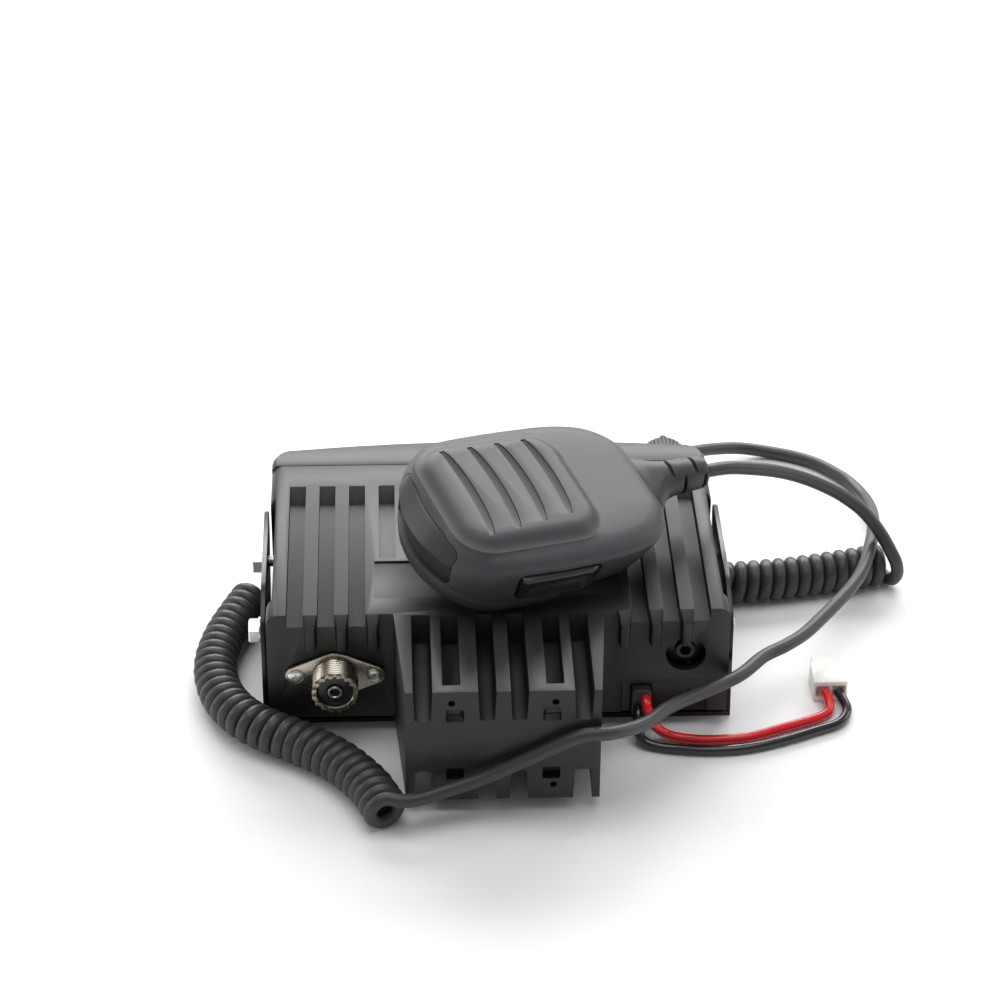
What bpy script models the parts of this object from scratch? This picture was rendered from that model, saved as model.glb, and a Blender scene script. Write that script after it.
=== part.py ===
"""Mobile transceiver with hand microphone, bracket, curly cord and supply lead.

X runs to the right as seen from the rear panel, Y runs from the rear panel to
the front panel, and Z is up.  The origin is the middle of the bracket base's
underside.  Helpers take millimetres in the frame of the piece's parent empty.
"""
import math

import bmesh
import bpy
from mathutils import Vector

MM = 0.001
GAP = 0.3                      # space between two pieces that touch

# Cabinet, measured from the rear panel and from the cabinet's underside.
WIDTH = 160.0
HEIGHT = 45.0
DEPTH = 95.0                   # the cast chassis, without the front panel
CORNER = 4.0
WALL = 3.0
ROOF = 9.0                     # thickness of the ribbed top
LIFT = 5.5                     # underside above the ground
PANEL_DEPTH = 16.0
BOW = 4.5                      # the front panel's bulge in plan

# Ribs on the top.
SLOT_PITCH = 10.7
SLOT_WIDTH = 5.8
SLOT_DEPTH = 5.0
SLOT_FIRST = 5.9               # middle of the first slot, from the centre line
SLOT_FRONT = 81.0
SHORT_SLOT_REAR = 34.0
LONG_SLOTS = 3                 # on each side; the slots between them are short
SHORT_SLOTS = 4

# Heat sink behind the rear panel.
SINK = 45.5
SINK_HALF_FRONT = 36.2
SINK_HALF_REAR = 32.7
GROOVE_DEPTH = 12.0

# Bracket.
SHEET = 1.6
ARM = WIDTH / 2 + 0.7          # inner face of an arm
BASE_REAR = 6.0
BASE_FRONT = 56.0
BOLTS = ((17.0, 27.0), (60.0, 27.0))

# Antenna socket and speaker jack on the rear panel.
SOCKET = (-56.6, 20.4)
BARREL = 15.9
FLANGE_SCREWS = 13.6           # from the socket's middle
JACK = (65.0, 26.0)
JACK_BORE = 14.0

# Supply lead's opening.
DC_LEFT = 43.0
DC_RIGHT = 73.0
DC_TOP = 13.8
GLAND = (49.9, 7.6)

# Controls on the front panel.
KNOB = (66.0, 32.5)
KNOB_RADIUS = 9.0
MIC_JACK = (66.0, 11.5)
WINDOW = (-14.0, 28.0)
WINDOW_SIZE = (78.0, 20.0)
KEYS = 5
KEY_PITCH = 17.0
KEY_FIRST = -48.0
KEY_ROW = 9.0

# Hand microphone, in its own frame: X to the cord, Z out of the face.
MIC_PLACE = (2.1, 24.8, 80.0)
MIC_TURN = math.radians(24.2)
MIC_DIP = math.radians(6.75)
MIC_TILT = math.radians(12.0)
MIC_SEAM = -22.0
MIC_OUTLINE = ((58.0, 17.0), (54.0, 24.0), (46.0, 30.5), (32.0, 34.0), (5.0, 34.5), (-12.0, 33.5),
               (-21.0, 29.0), (-27.0, 22.0), (-31.0, 13.0), (-33.0, 0.0))
MIC_BACK = -31.6               # the back's height at its deep end
MIC_BACK_SLOPE = 0.086
MIC_SLOTS = (-13.0, -2.4, 8.2, 18.6)
LEVER = (-6.0, 24.0)           # the lever's reach along the microphone's side

# Cords.
CORD = 4.8
COIL = 15.6
WIRE = 3.5

# Routes: x, y and height above the ground, each point where the cord's middle lies.
MIC_TAIL = ((76.0, 59.8, 68.4), (83.2, 64.0, 66.8), (89.6, 68.0, 64.2), (101.3, 75.5, 58.1),
            (110.3, 81.0, 52.5), (119.2, 85.0, 46.6), (128.1, 87.8, 40.1), (134.0, 88.4, 35.4),
            (138.6, 88.0, 31.4), (142.7, 86.6, 26.7), (146.1, 84.4, 22.2), (148.8, 82.0, 17.8),
            (151.0, 80.3, 13.6), (152.6, 80.4, 9.4), (153.2, 83.4, 6.8), (150.9, 88.0, 6.4))
RIGHT_COIL = ((147.0, 87.8, 8.0), (140.5, 85.8, 8.0), (131.0, 83.6, 8.0), (120.0, 81.0, 8.0),
              (108.0, 78.8, 8.0), (96.0, 77.4, 8.0), (86.6, 76.6, 8.0))
UNDER = ((86.0, 76.6, 2.5), (60.0, 75.4, 2.5), (30.0, 74.2, 2.5), (0.0, 73.2, 2.5),
         (-30.0, 72.4, 2.5), (-60.0, 72.6, 2.5), (-76.0, 74.4, 2.5), (-84.6, 74.6, 2.6))
LEFT_COIL = ((-88.2, 71.4, 8.0), (-92.6, 60.5, 8.0), (-97.0, 48.0, 8.0), (-99.6, 34.5, 8.0),
             (-99.4, 23.5, 8.0), (-96.6, 13.0, 8.0), (-91.6, 2.6, 8.8), (-85.6, -7.2, 9.6),
             (-74.6, -12.2, 8.6), (-65.4, -18.0, 8.0), (-57.2, -25.2, 8.0), (-50.4, -33.0, 8.0),
             (-44.8, -41.4, 8.0), (-41.8, -48.2, 8.0), (-39.4, -54.0, 8.0))
RADIO_TAIL = ((-30.8, -55.4, 12.8), (-21.4, -51.8, 13.6), (-6.2, -49.4, 17.8), (9.9, -49.2, 26.0),
              (25.6, -49.2, 34.2), (36.0, -47.9, 34.3), (47.6, -38.0, 30.4), (58.0, -23.4, 26.6),
              (73.2, -10.2, 24.0), (84.4, -0.6, 22.6), (93.6, 11.2, 21.6), (102.3, 18.7, 20.8),
              (110.0, 26.7, 20.0), (117.6, 37.0, 19.6), (124.1, 46.3, 19.4), (130.8, 56.3, 19.4),
              (136.6, 67.9, 19.2), (141.2, 82.7, 18.8), (144.8, 98.7, 16.0), (147.4, 116.3, 11.0),
              (148.0, 129.3, 7.0), (147.4, 140.3, 4.0), (144.4, 151.2, 2.5), (139.5, 158.8, 2.5),
              (131.8, 167.1, 2.5), (123.7, 172.2, 2.5), (114.2, 175.6, 2.7), (103.5, 175.5, 4.6),
              (93.8, 170.2, 8.0), (84.8, 163.0, 11.6), (75.6, 156.0, 14.4), (69.6, 151.0, 15.8),
              (66.3, 144.0, 16.9), (66.0, 138.0, 17.0))
RED_WIRE = ((51.2, -4.3, 15.2), (51.2, -6.2, 14.8), (53.6, -8.8, 8.6), (58.6, -8.2, 3.0),
            (67.0, -9.8, 1.9), (75.7, -10.4, 1.9), (87.4, -9.2, 1.9), (99.5, -4.5, 1.9),
            (110.4, 0.0, 1.9), (116.6, 4.0, 1.9), (117.6, 8.2, 3.4), (116.4, 12.4, 4.4))
BLACK_WIRE = ((48.6, -4.3, 11.0), (48.6, -6.4, 10.6), (48.2, -9.2, 6.6), (50.2, -11.8, 3.0), (55.4, -13.8, 1.9),
              (63.8, -15.6, 1.9), (75.2, -16.6, 1.9), (86.8, -15.4, 1.9), (98.7, -11.7, 1.9),
              (111.2, -6.3, 1.9), (119.9, -2.0, 1.9), (123.6, 4.4, 2.8), (121.4, 12.4, 4.4))
CONNECTOR = ((112.6, 13.0, 0.3), (124.6, 30.0, 8.6))


# ---------------------------------------------------------------- helpers

def paint(name, colour, roughness, metallic=0.0):
    """A plain Principled material."""
    material = bpy.data.materials.new(name)
    material.use_nodes = True
    shader = material.node_tree.nodes["Principled BSDF"]
    shader.inputs["Base Color"].default_value = (*colour, 1.0)
    shader.inputs["Roughness"].default_value = roughness
    shader.inputs["Metallic"].default_value = metallic
    material.diffuse_color = (*colour, 1.0)
    return material


def empty(name, place, turn=(0.0, 0.0, 0.0), parent=None):
    """A guide that other pieces hang on, placed in millimetres."""
    guide = bpy.data.objects.new(name, None)
    guide.location = Vector(place) * MM
    guide.rotation_euler = turn
    guide.parent = parent
    bpy.context.scene.collection.objects.link(guide)
    return guide


def solid(name, shape, material, parent, smooth=30.0):
    """Turns a bmesh in millimetres into a named object."""
    bmesh.ops.recalc_face_normals(shape, faces=shape.faces)
    bmesh.ops.scale(shape, vec=(MM, MM, MM), verts=shape.verts)
    mesh = bpy.data.meshes.new(name)
    shape.to_mesh(mesh)
    shape.free()
    piece = bpy.data.objects.new(name, mesh)
    piece.parent = parent
    bpy.context.scene.collection.objects.link(piece)
    if material:
        mesh.materials.append(material)
    mesh.shade_smooth()
    mesh.set_sharp_from_angle(angle=math.radians(smooth))
    return piece


def block(shape, low, high):
    """Adds a box between two corners."""
    corners = bmesh.ops.create_cube(shape, size=1.0)["verts"]
    middle = (Vector(low) + Vector(high)) / 2
    size = Vector(high) - Vector(low)
    bmesh.ops.scale(shape, vec=size, verts=corners)
    bmesh.ops.translate(shape, vec=middle, verts=corners)


def loft(shape, rings):
    """Skins rings of equal length and closes both ends."""
    made = [[shape.verts.new(point) for point in ring] for ring in rings]
    count = len(made[0])
    for first, second in zip(made, made[1:]):
        for i in range(count):
            j = (i + 1) % count
            shape.faces.new((first[i], first[j], second[j], second[i]))
    shape.faces.new(made[0])
    shape.faces.new(made[-1])


def prism(shape, outline, low, high, axis="Z"):
    """Extrudes a flat outline along an axis; the outline keeps the other two in order."""
    def point(a, b, along):
        return {"X": (along, a, b), "Y": (a, along, b), "Z": (a, b, along)}[axis]
    loft(shape, [[point(a, b, along) for a, b in outline] for along in (low, high)])


def turned(shape, profile, middle, axis="Y", sides=32):
    """Revolves (radius, along) pairs about an axis through a point."""
    angles = [2 * math.pi * i / sides for i in range(sides)]

    def point(radius, along, angle):
        a = radius * math.cos(angle)
        b = radius * math.sin(angle)
        offset = {"X": (along, a, b), "Y": (a, along, b), "Z": (a, b, along)}[axis]
        return Vector(middle) + Vector(offset)
    loft(shape, [[point(r, s, angle) for angle in angles] for r, s in profile])


def rounded(half_x, half_y, radius, steps=3, middle=(0.0, 0.0)):
    """A rectangle with round corners."""
    outline = []
    for quarter, (sx, sy) in enumerate(((1, 1), (-1, 1), (-1, -1), (1, -1))):
        for i in range(steps + 1):
            angle = math.pi / 2 * (quarter + i / steps)
            outline.append((middle[0] + sx * (half_x - radius) + radius * math.cos(angle),
                            middle[1] + sy * (half_y - radius) + radius * math.sin(angle)))
    return outline


def boolean(piece, shape, operation="DIFFERENCE", parent=None):
    """Cuts or joins a bmesh in millimetres with a piece of the same frame."""
    tool = solid(piece.name + "_" + operation.lower(), shape, None, parent or piece.parent)
    tool.hide_render = True
    tool.display_type = "WIRE"
    modifier = piece.modifiers.new(operation.title(), "BOOLEAN")
    modifier.operation = operation
    modifier.object = tool
    return piece


def bevel(piece, width, segments=1, angle=40.0):
    """Breaks the piece's sharp edges."""
    modifier = piece.modifiers.new("Bevel", "BEVEL")
    modifier.width = width * MM
    modifier.segments = segments
    modifier.limit_method = "ANGLE"
    modifier.angle_limit = math.radians(angle)
    return piece


def smooth_route(route, spacing):
    """Points along a smooth curve through a route, one every spacing."""
    knots = [Vector(point) for point in route]
    knots = [2 * knots[0] - knots[1]] + knots + [2 * knots[-1] - knots[-2]]
    fine = []
    for p, q, r, s in zip(knots, knots[1:], knots[2:], knots[3:]):
        for i in range(12):
            t = i / 12
            fine.append(0.5 * (2 * q + (r - p) * t + (2 * p - 5 * q + 4 * r - s) * t ** 2
                               + (3 * q - p - 3 * r + s) * t ** 3))
    fine.append(knots[-2])
    length = sum((b - a).length for a, b in zip(fine, fine[1:]))
    steps = max(3, round(length / spacing))
    points = [fine[0]]
    travelled = 0.0
    for a, b in zip(fine, fine[1:]):
        piece = (b - a).length
        while len(points) < steps and travelled + piece >= len(points) * length / steps:
            share = (len(points) * length / steps - travelled) / piece
            points.append(a.lerp(b, share))
        travelled += piece
    points.append(fine[-1])
    return points


def tube(name, route, diameter, material, parent, spacing=2.6, resolution=2):
    """A cord's solid along a route given above the ground."""
    points = smooth_route(route, spacing * diameter)
    curve = bpy.data.curves.new(name, "CURVE")
    curve.dimensions = "3D"
    curve.bevel_depth = diameter / 2 * MM
    curve.bevel_resolution = resolution
    curve.render_resolution_u = 0
    curve.use_fill_caps = True
    spline = curve.splines.new("POLY")
    spline.points.add(len(points) - 1)
    for place, point in zip(spline.points, points):
        place.co = (point.x * MM, point.y * MM, (point.z - LIFT) * MM, 1.0)
    curve.materials.append(material)
    piece = bpy.data.objects.new(name, curve)
    piece.parent = parent
    bpy.context.scene.collection.objects.link(piece)
    return piece


# ---------------------------------------------------------------- cabinet

def slot_middles(first, count):
    """Middles of a row of slots on both sides of the centre line."""
    rows = [SLOT_FIRST + SLOT_PITCH * i for i in range(first, first + count)]
    return [side * x for x in rows for side in (-1, 1)]


def body_outline():
    """The cabinet's section with round top edges."""
    half = WIDTH / 2
    outline = [(-half, 1.5), (half, 1.5)]
    for i in range(4):
        angle = math.pi / 2 * i / 3
        outline.append((half - CORNER + CORNER * math.cos(angle), HEIGHT - CORNER + CORNER * math.sin(angle)))
    for i in range(4):
        angle = math.pi / 2 * (1 + i / 3)
        outline.append((-half + CORNER + CORNER * math.cos(angle), HEIGHT - CORNER + CORNER * math.sin(angle)))
    return outline


def add_slots(shape, middles, rear):
    """Slots in the top, with a ramp at the front end."""
    floor = HEIGHT - SLOT_DEPTH
    side = [(rear, floor), (SLOT_FRONT - 4, floor), (SLOT_FRONT + 1, HEIGHT + 1), (rear, HEIGHT + 1)]
    for x in middles:
        prism(shape, side, x - SLOT_WIDTH / 2, x + SLOT_WIDTH / 2, "X")


def groove(shape, left, right, top, floor, rear, front):
    """A groove that narrows towards its floor, cut along Y."""
    taper = 0.6 if top > floor else -0.6
    outline = [(left, top), (left + abs(taper), floor + taper), (left + 1.6, floor),
               (right - 1.6, floor), (right - abs(taper), floor + taper), (right, top)]
    prism(shape, outline, rear, front, "Y")


def make_chassis(parent, material):
    shape = bmesh.new()
    prism(shape, body_outline(), 0.0, DEPTH, "Y")
    chassis = solid("chassis", shape, material, parent)

    sink = bmesh.new()
    plan = [(-SINK_HALF_FRONT, 6.0), (-SINK_HALF_FRONT, 0.0), (-SINK_HALF_REAR, -SINK),
            (SINK_HALF_REAR, -SINK), (SINK_HALF_FRONT, 0.0), (SINK_HALF_FRONT, 6.0)]
    prism(sink, plan, 0.0, HEIGHT)
    boolean(chassis, sink, "UNION")

    hollow = bmesh.new()
    half = WIDTH / 2 - 5.0
    prism(hollow, rounded(half, (DEPTH - 2 * WALL) / 2, 3.0, middle=(0.0, DEPTH / 2)), -1.0, HEIGHT - ROOF)
    boolean(chassis, hollow)

    slots = bmesh.new()
    add_slots(slots, slot_middles(SHORT_SLOTS, LONG_SLOTS), -8.0)
    add_slots(slots, slot_middles(0, SHORT_SLOTS), SHORT_SLOT_REAR)
    boolean(chassis, slots)

    ledge = bmesh.new()
    block(ledge, (-42.6, 9.6, HEIGHT - 0.6), (42.6, SHORT_SLOT_REAR - 1.8, HEIGHT + 1))
    boolean(chassis, ledge)

    noses = bmesh.new()
    sections = ((1.0, 2.2, 0.0, 13.2), (0.0, 2.2, 0.0, 13.2), (-4.4, 1.4, 3.5, 12.6))
    for x in slot_middles(SHORT_SLOTS - 1, LONG_SLOTS):
        middle = x + math.copysign(SLOT_PITCH / 2, x)
        loft(noses, [[(middle - half, y, HEIGHT - low), (middle + half, y, HEIGHT - low),
                      (middle + half, y, HEIGHT - top), (middle - half, y, HEIGHT - top)]
                     for y, half, top, low in sections])
    boolean(chassis, noses, "UNION")

    cut_sink(chassis)
    cut_sides(chassis)
    cut_rear(chassis)
    add_bosses(chassis)
    return chassis


def cut_sink(chassis):
    """Grooves from above and below, and a pocket in each block."""
    grooves = bmesh.new()
    for side in (-1, 1):
        inner = sorted((side * 2.3, side * 8.5))
        outer = sorted((side * 23.6, side * 30.2))
        for left, right in (inner, outer):
            groove(grooves, left, right, HEIGHT + 1, HEIGHT - GROOVE_DEPTH, -SINK - 1, -1.0)
            groove(grooves, left, right, -1.0, GROOVE_DEPTH, -SINK - 1, -1.0)
        left, right = sorted((side * 14.3, side * 20.3))
        block(grooves, (left, 4.0 - SINK, HEIGHT - GROOVE_DEPTH), (right, -2.0, HEIGHT + 1))
    boolean(chassis, grooves)


def cut_sides(chassis):
    """Shallow recesses beside the bracket's arms, and the bolt holes."""
    sides = bmesh.new()
    for side in (-1, 1):
        inner = side * (WIDTH / 2 - 2.0)
        outer = side * (WIDTH / 2 + 1.0)
        low, high = sorted((inner, outer))
        block(sides, (low, 10.0, 8.0), (high, 74.0, HEIGHT + 1))
    boolean(chassis, sides)
    holes = bmesh.new()
    for y, z in BOLTS:
        for side in (-1, 1):
            turned(holes, ((2.4, -5.0), (2.4, 5.0)), (side * (WIDTH / 2 - 3.0), y, z), "X", 16)
    boolean(chassis, holes)


def cut_rear(chassis):
    """Openings in the rear wall for the socket, the jack and the supply lead."""
    rear = bmesh.new()
    turned(rear, ((5.5, -1.0), (5.5, WALL + 1)), (SOCKET[0], 0.0, SOCKET[1]), "Y", 24)
    turned(rear, ((JACK_BORE / 2, -1.0), (JACK_BORE / 2, WALL + 1)), (JACK[0], 0.0, JACK[1]), "Y", 32)
    block(rear, (DC_LEFT, -1.0, -1.0), (DC_RIGHT, WALL + 1, DC_TOP))
    for side in (-1, 1):
        place = (SOCKET[0] + side * FLANGE_SCREWS, 0.0, SOCKET[1])
        turned(rear, ((1.7, -1.0), (1.7, WALL + 1)), place, "Y", 16)
    boolean(chassis, rear)


def boss_places():
    return [(x, y) for x in (-68.0, 68.0) for y in (20.0, 85.0)]


def add_bosses(chassis):
    """Posts for the bottom cover's screws."""
    posts = bmesh.new()
    bores = bmesh.new()
    for x, y in boss_places():
        turned(posts, ((3.5, 1.5), (3.5, HEIGHT - ROOF + 1)), (x, y, 0.0), "Z", 16)
        turned(bores, ((1.8, 0.0), (1.8, 12.0)), (x, y, 0.0), "Z", 12)
    boolean(chassis, posts, "UNION")
    boolean(chassis, bores)


def make_bottom_cover(parent, material):
    shape = bmesh.new()
    half = WIDTH / 2 - 0.4
    prism(shape, rounded(half, (DEPTH - 9.0) / 2, 2.0, middle=(0.0, DEPTH / 2 + 4.0)), 0.0, 1.5 - GAP)
    cover = solid("bottom_cover", shape, material, parent)
    holes = bmesh.new()
    for x, y in boss_places():
        turned(holes, ((3.2, -1.0), (3.2, 0.5), (1.8, 0.9), (1.8, 2.0)), (x, y, 0.0), "Z", 16)
    for i in range(5):
        block(holes, (-60.0, 28.0 + 6.0 * i, -1.0), (-26.0, 31.0 + 6.0 * i, 2.0))
    boolean(cover, holes)
    return cover


def make_cover_screws(parent, material):
    for i, (x, y) in enumerate(boss_places()):
        shape = bmesh.new()
        turned(shape, ((2.8, 0.0), (2.8, 0.3), (1.5, 0.8), (1.5, 10.0)), (x, y, 0.0), "Z", 16)
        solid("cover_screw_%d" % (i + 1), shape, material, parent)


# ---------------------------------------------------------------- rear panel

def make_antenna_socket(parent, metal, plastic):
    x, z = SOCKET
    shape = bmesh.new()
    outline = []
    for start, middle, radius in ((-60, 17.0 - 3.4, 3.4), (60, 0.0, 10.4), (120, -13.6, 3.4), (240, 0.0, 10.4)):
        sweep = 60 if radius > 5 else 120
        for i in range(6):
            angle = math.radians(start + sweep * i / 5)
            outline.append((x + middle + radius * math.cos(angle), z + radius * math.sin(angle)))
    prism(shape, outline, -1.6 - GAP, -GAP, "Y")
    socket = solid("antenna_socket", shape, metal, parent)
    barrel = bmesh.new()
    turned(barrel, ((BARREL / 2, -12.0), (BARREL / 2, -1.0)), (x, 0.0, z), "Y", 40)
    boolean(socket, barrel, "UNION")
    back = bmesh.new()
    turned(back, ((4.6, -1.0), (4.6, WALL - 0.5)), (x, 0.0, z), "Y", 24)
    boolean(socket, back, "UNION")
    bore = bmesh.new()
    turned(bore, ((6.1, -13.0), (6.1, -3.0)), (x, 0.0, z), "Y", 32)
    for side in (-1, 1):
        turned(bore, ((1.7, -4.0), (1.7, 1.0)), (x + side * FLANGE_SCREWS, 0.0, z), "Y", 16)
    boolean(socket, bore)
    thread = bmesh.new()
    turned(thread, ((2.6, -5.0), (2.6, WALL + 1)), (x, 0.0, z), "Y", 20)
    boolean(socket, thread)

    ring = bmesh.new()
    turned(ring, ((5.8, -10.6), (5.8, -3.3), (2.3, -3.3), (2.3, WALL), (3.6, WALL), (3.6, 8.0)),
           (x, 0.0, z), "Y", 28)
    insulator = solid("antenna_insulator", ring, plastic, parent)
    hole = bmesh.new()
    turned(hole, ((1.5 + 0.9, -12.0), (1.5 + 0.9, -9.0)), (x, 0.0, z), "Y", 20)
    turned(hole, ((1.2, -9.2), (1.2, 9.0)), (x, 0.0, z), "Y", 16)
    boolean(insulator, hole)

    pin = bmesh.new()
    turned(pin, ((0.9, 11.0), (0.9, -9.3), (2.1, -9.3), (2.1, -11.4), (1.4, -11.4), (1.4, -9.8)),
           (x, 0.0, z), "Y", 16)
    solid("antenna_contact", pin, metal, parent)

    for i, side in enumerate((-1, 1)):
        screw = bmesh.new()
        profile = ((2.3, -3.6), (2.6, -3.0), (2.6, -1.6 - 2 * GAP), (1.3, -1.6 - 2 * GAP), (1.3, 5.0))
        turned(screw, profile, (x + side * FLANGE_SCREWS, 0.0, z), "Y", 20)
        solid("flange_screw_%d" % (i + 1), screw, metal, parent)


def make_speaker_jack(parent, material):
    shape = bmesh.new()
    x, z = JACK
    turned(shape, ((3.4, 2.0), (3.4, 4.4), (6.6, 4.4), (6.6, 15.0), (1.9, 15.0), (1.9, 2.0)),
           (x, 0.0, z), "Y", 28)
    jack = solid("speaker_jack", close_ring(shape), material, parent)
    return jack


def close_ring(shape):
    """Makes a turned profile a ring: its two end caps become one inner wall."""
    caps = [face for face in shape.faces if len(face.verts) > 4]
    rims = [edge for face in caps for edge in face.edges]
    bmesh.ops.delete(shape, geom=caps, context="FACES_ONLY")
    bmesh.ops.bridge_loops(shape, edges=list(set(rims)))
    return shape


def make_supply_entry(parent, metal, rubber):
    shape = bmesh.new()
    block(shape, (DC_LEFT + GAP, 0.4, 1.6), (DC_RIGHT - GAP, 2.4, DC_TOP - GAP))
    plate = solid("dc_cover_plate", shape, metal, parent)
    cuts = bmesh.new()
    block(cuts, (GLAND[0] - 3.9, -1.0, -1.0), (GLAND[0] + 3.9, 4.0, 13.0))
    block(cuts, (66.2, -1.0, 4.0), (67.4, 4.0, 10.5))
    boolean(plate, cuts)

    gland = bmesh.new()
    prism(gland, rounded(3.5, 5.4, 1.6, middle=(GLAND[0], GLAND[1] - 0.3)), -3.2, 6.0, "Y")
    sleeve = solid("dc_gland", gland, rubber, parent)
    bevel(sleeve, 0.6, 2)


# ---------------------------------------------------------------- front panel

def panel_outline(inset=0.0):
    """The front panel in plan: flat at the back, bowed at the front."""
    half = WIDTH / 2 - inset
    rear = DEPTH + GAP
    outline = [(-half, rear), (half, rear), (half, rear + 4.0)]
    for i in range(1, 5):
        angle = math.pi / 2 * i / 5
        outline.append((half - 7.0 + 7.0 * math.cos(angle), rear + 4.5 + 6.5 * math.sin(angle)))
    for i in range(9):
        share = 1.0 - i / 4
        outline.append(((half - 7.0) * share, rear + PANEL_DEPTH - BOW * share ** 2 - inset * 0.5))
    for i in range(4, 0, -1):
        angle = math.pi / 2 * i / 5
        outline.append((-half + 7.0 - 7.0 * math.cos(angle), rear + 4.5 + 6.5 * math.sin(angle)))
    outline.append((-half, rear + 4.0))
    return outline


def key_places():
    return [(KEY_FIRST + KEY_PITCH * i, KEY_ROW) for i in range(KEYS)]


def front_of_panel(x):
    """Where the panel's front face lies at x."""
    share = min(1.0, abs(x) / (WIDTH / 2 - 7.0))
    return DEPTH + GAP + PANEL_DEPTH - BOW * share ** 2


def make_front_panel(parent, material):
    shape = bmesh.new()
    loft(shape, [[(x, y, z) for x, y in panel_outline(inset)]
                 for inset, z in ((1.2, 0.2), (0.0, 1.6), (0.0, HEIGHT - 2.0), (1.6, HEIGHT))])
    panel = solid("front_panel", shape, material, parent)
    hollow = bmesh.new()
    block(hollow, (-74.0, DEPTH - 1, 4.0), (74.0, DEPTH + 8.0, HEIGHT - 4.0))
    boolean(panel, hollow)
    cuts = bmesh.new()
    x, z = WINDOW
    w, h = WINDOW_SIZE
    block(cuts, (x - w / 2, DEPTH + 7.0, z - h / 2), (x + w / 2, DEPTH + 20.0, z + h / 2))
    for kx, kz in key_places():
        block(cuts, (kx - 6.0, DEPTH + 7.0, kz - 3.0), (kx + 6.0, DEPTH + 20.0, kz + 3.0))
    block(cuts, (38.0, DEPTH + 7.0, 30.0), (46.0, DEPTH + 20.0, 38.0))
    turned(cuts, ((3.6, DEPTH + 7.0), (3.6, DEPTH + 20.0)), (KNOB[0], 0.0, KNOB[1]), "Y", 24)
    block(cuts, (MIC_JACK[0] - 7.4, DEPTH + 7.0, MIC_JACK[1] - 6.0),
          (MIC_JACK[0] + 7.4, DEPTH + 20.0, MIC_JACK[1] + 6.0))
    boolean(panel, cuts)
    return panel


def make_display(parent, glass, board):
    x, z = WINDOW
    w, h = WINDOW_SIZE[0] / 2 - GAP, WINDOW_SIZE[1] / 2 - GAP
    window = bmesh.new()
    block(window, (x - w, DEPTH + 9.0, z - h), (x + w, DEPTH + 14.2, z + h))
    solid("lcd_window", window, glass, parent)
    module = bmesh.new()
    block(module, (x - w + 2, DEPTH + 5.0, z - h + 2), (x + w - 2, DEPTH + 8.6, z + h - 2))
    solid("lcd_module", module, board, parent)
    plate = bmesh.new()
    block(plate, (-70.0, DEPTH + 1.0, 5.5), (55.0, DEPTH + 2.6, HEIGHT - 6.0))
    solid("front_board", plate, board, parent)


def make_key(name, place, half, material, parent):
    """A key on its own slide, whose empty lies on the slide's axis."""
    x, z = place
    face = front_of_panel(x) + 0.9
    guide = empty(name + "_slide", (x, DEPTH + 8.4, z), parent=parent)
    shape = bmesh.new()
    block(shape, (-half[0], 0.0, -half[1]), (half[0], face - DEPTH - 8.4, half[1]))
    key = solid(name, shape, material, guide)
    bevel(key, 0.5, 2)


def make_keys(parent, material):
    for i, place in enumerate(key_places()):
        make_key("key_%d" % (i + 1), place, (5.6, 2.6), material, parent)
    make_key("power_key", (42.0, 34.0), (3.6, 3.6), material, parent)


def make_volume_knob(parent, material):
    x, z = KNOB
    start = front_of_panel(x - KNOB_RADIUS) + 0.5
    guide = empty("volume_axis", (x, start, z), parent=parent)
    shape = bmesh.new()
    stem = DEPTH + 4.0 - start
    profile = ((3.0, stem), (3.0, 0.0), (KNOB_RADIUS, 0.0), (KNOB_RADIUS, 2.0), (KNOB_RADIUS - 1.4, 8.4),
               (KNOB_RADIUS - 2.2, 9.2))
    turned(shape, profile, (0.0, 0.0, 0.0), "Y", 36)
    knob = solid("volume_knob", shape, material, guide)
    wing = bmesh.new()
    block(wing, (-1.5, 1.0, -KNOB_RADIUS + 1), (1.5, 10.4, KNOB_RADIUS + 0.8))
    boolean(knob, wing, "UNION", guide)


def make_mic_jack(parent, material, plastic):
    x, z = MIC_JACK
    shape = bmesh.new()
    block(shape, (x - 7.0, DEPTH + 1.0, z - 5.6), (x + 7.0, DEPTH + 12.6, z + 5.6))
    jack = solid("mic_jack", shape, material, parent)
    recess = bmesh.new()
    block(recess, (x - 6.1, DEPTH + 3.0, z - 4.3), (x + 6.1, DEPTH + 14.0, z + 4.3))
    boolean(jack, recess)

    plug = bmesh.new()
    block(plug, (x - 5.8, DEPTH + 3.4, z - 4.0), (x + 5.8, DEPTH + 25.0, z + 4.0))
    body = solid("mic_plug", plug, plastic, parent)
    sleeve = bmesh.new()
    turned(sleeve, ((3.9, DEPTH + 24.0), (3.6, DEPTH + 30.0), (3.0, DEPTH + 42.4)), (x, 0.0, z), "Y", 20)
    boolean(body, sleeve, "UNION")


# ---------------------------------------------------------------- inside

def make_inside(parent, board, black, metal):
    plate = bmesh.new()
    block(plate, (-4.0, 8.0, 6.0), (63.0, 88.0, 7.6))
    main = solid("main_board", plate, board, parent)
    parts = bmesh.new()
    block(parts, (4.0, 16.0, 7.0), (34.0, 42.0, 16.0))
    block(parts, (40.0, 20.0, 7.0), (56.0, 40.0, 12.0))
    block(parts, (8.0, 52.0, 7.0), (22.0, 66.0, 11.0))
    block(parts, (30.0, 54.0, 7.0), (52.0, 78.0, 13.0))
    boolean(main, parts, "UNION")

    speaker = bmesh.new()
    profile = ((21.0, 2.0), (22.5, 3.0), (22.5, 5.0), (13.0, 13.0), (13.0, 20.0))
    turned(speaker, profile, (-43.0, 43.0, 0.0), "Z", 32)
    solid("loudspeaker", speaker, black, parent)

    shield = bmesh.new()
    block(shield, (-44.0, 70.0, 10.0), (-12.0, 88.0, 24.0))
    solid("filter_can", shield, metal, parent)


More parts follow.
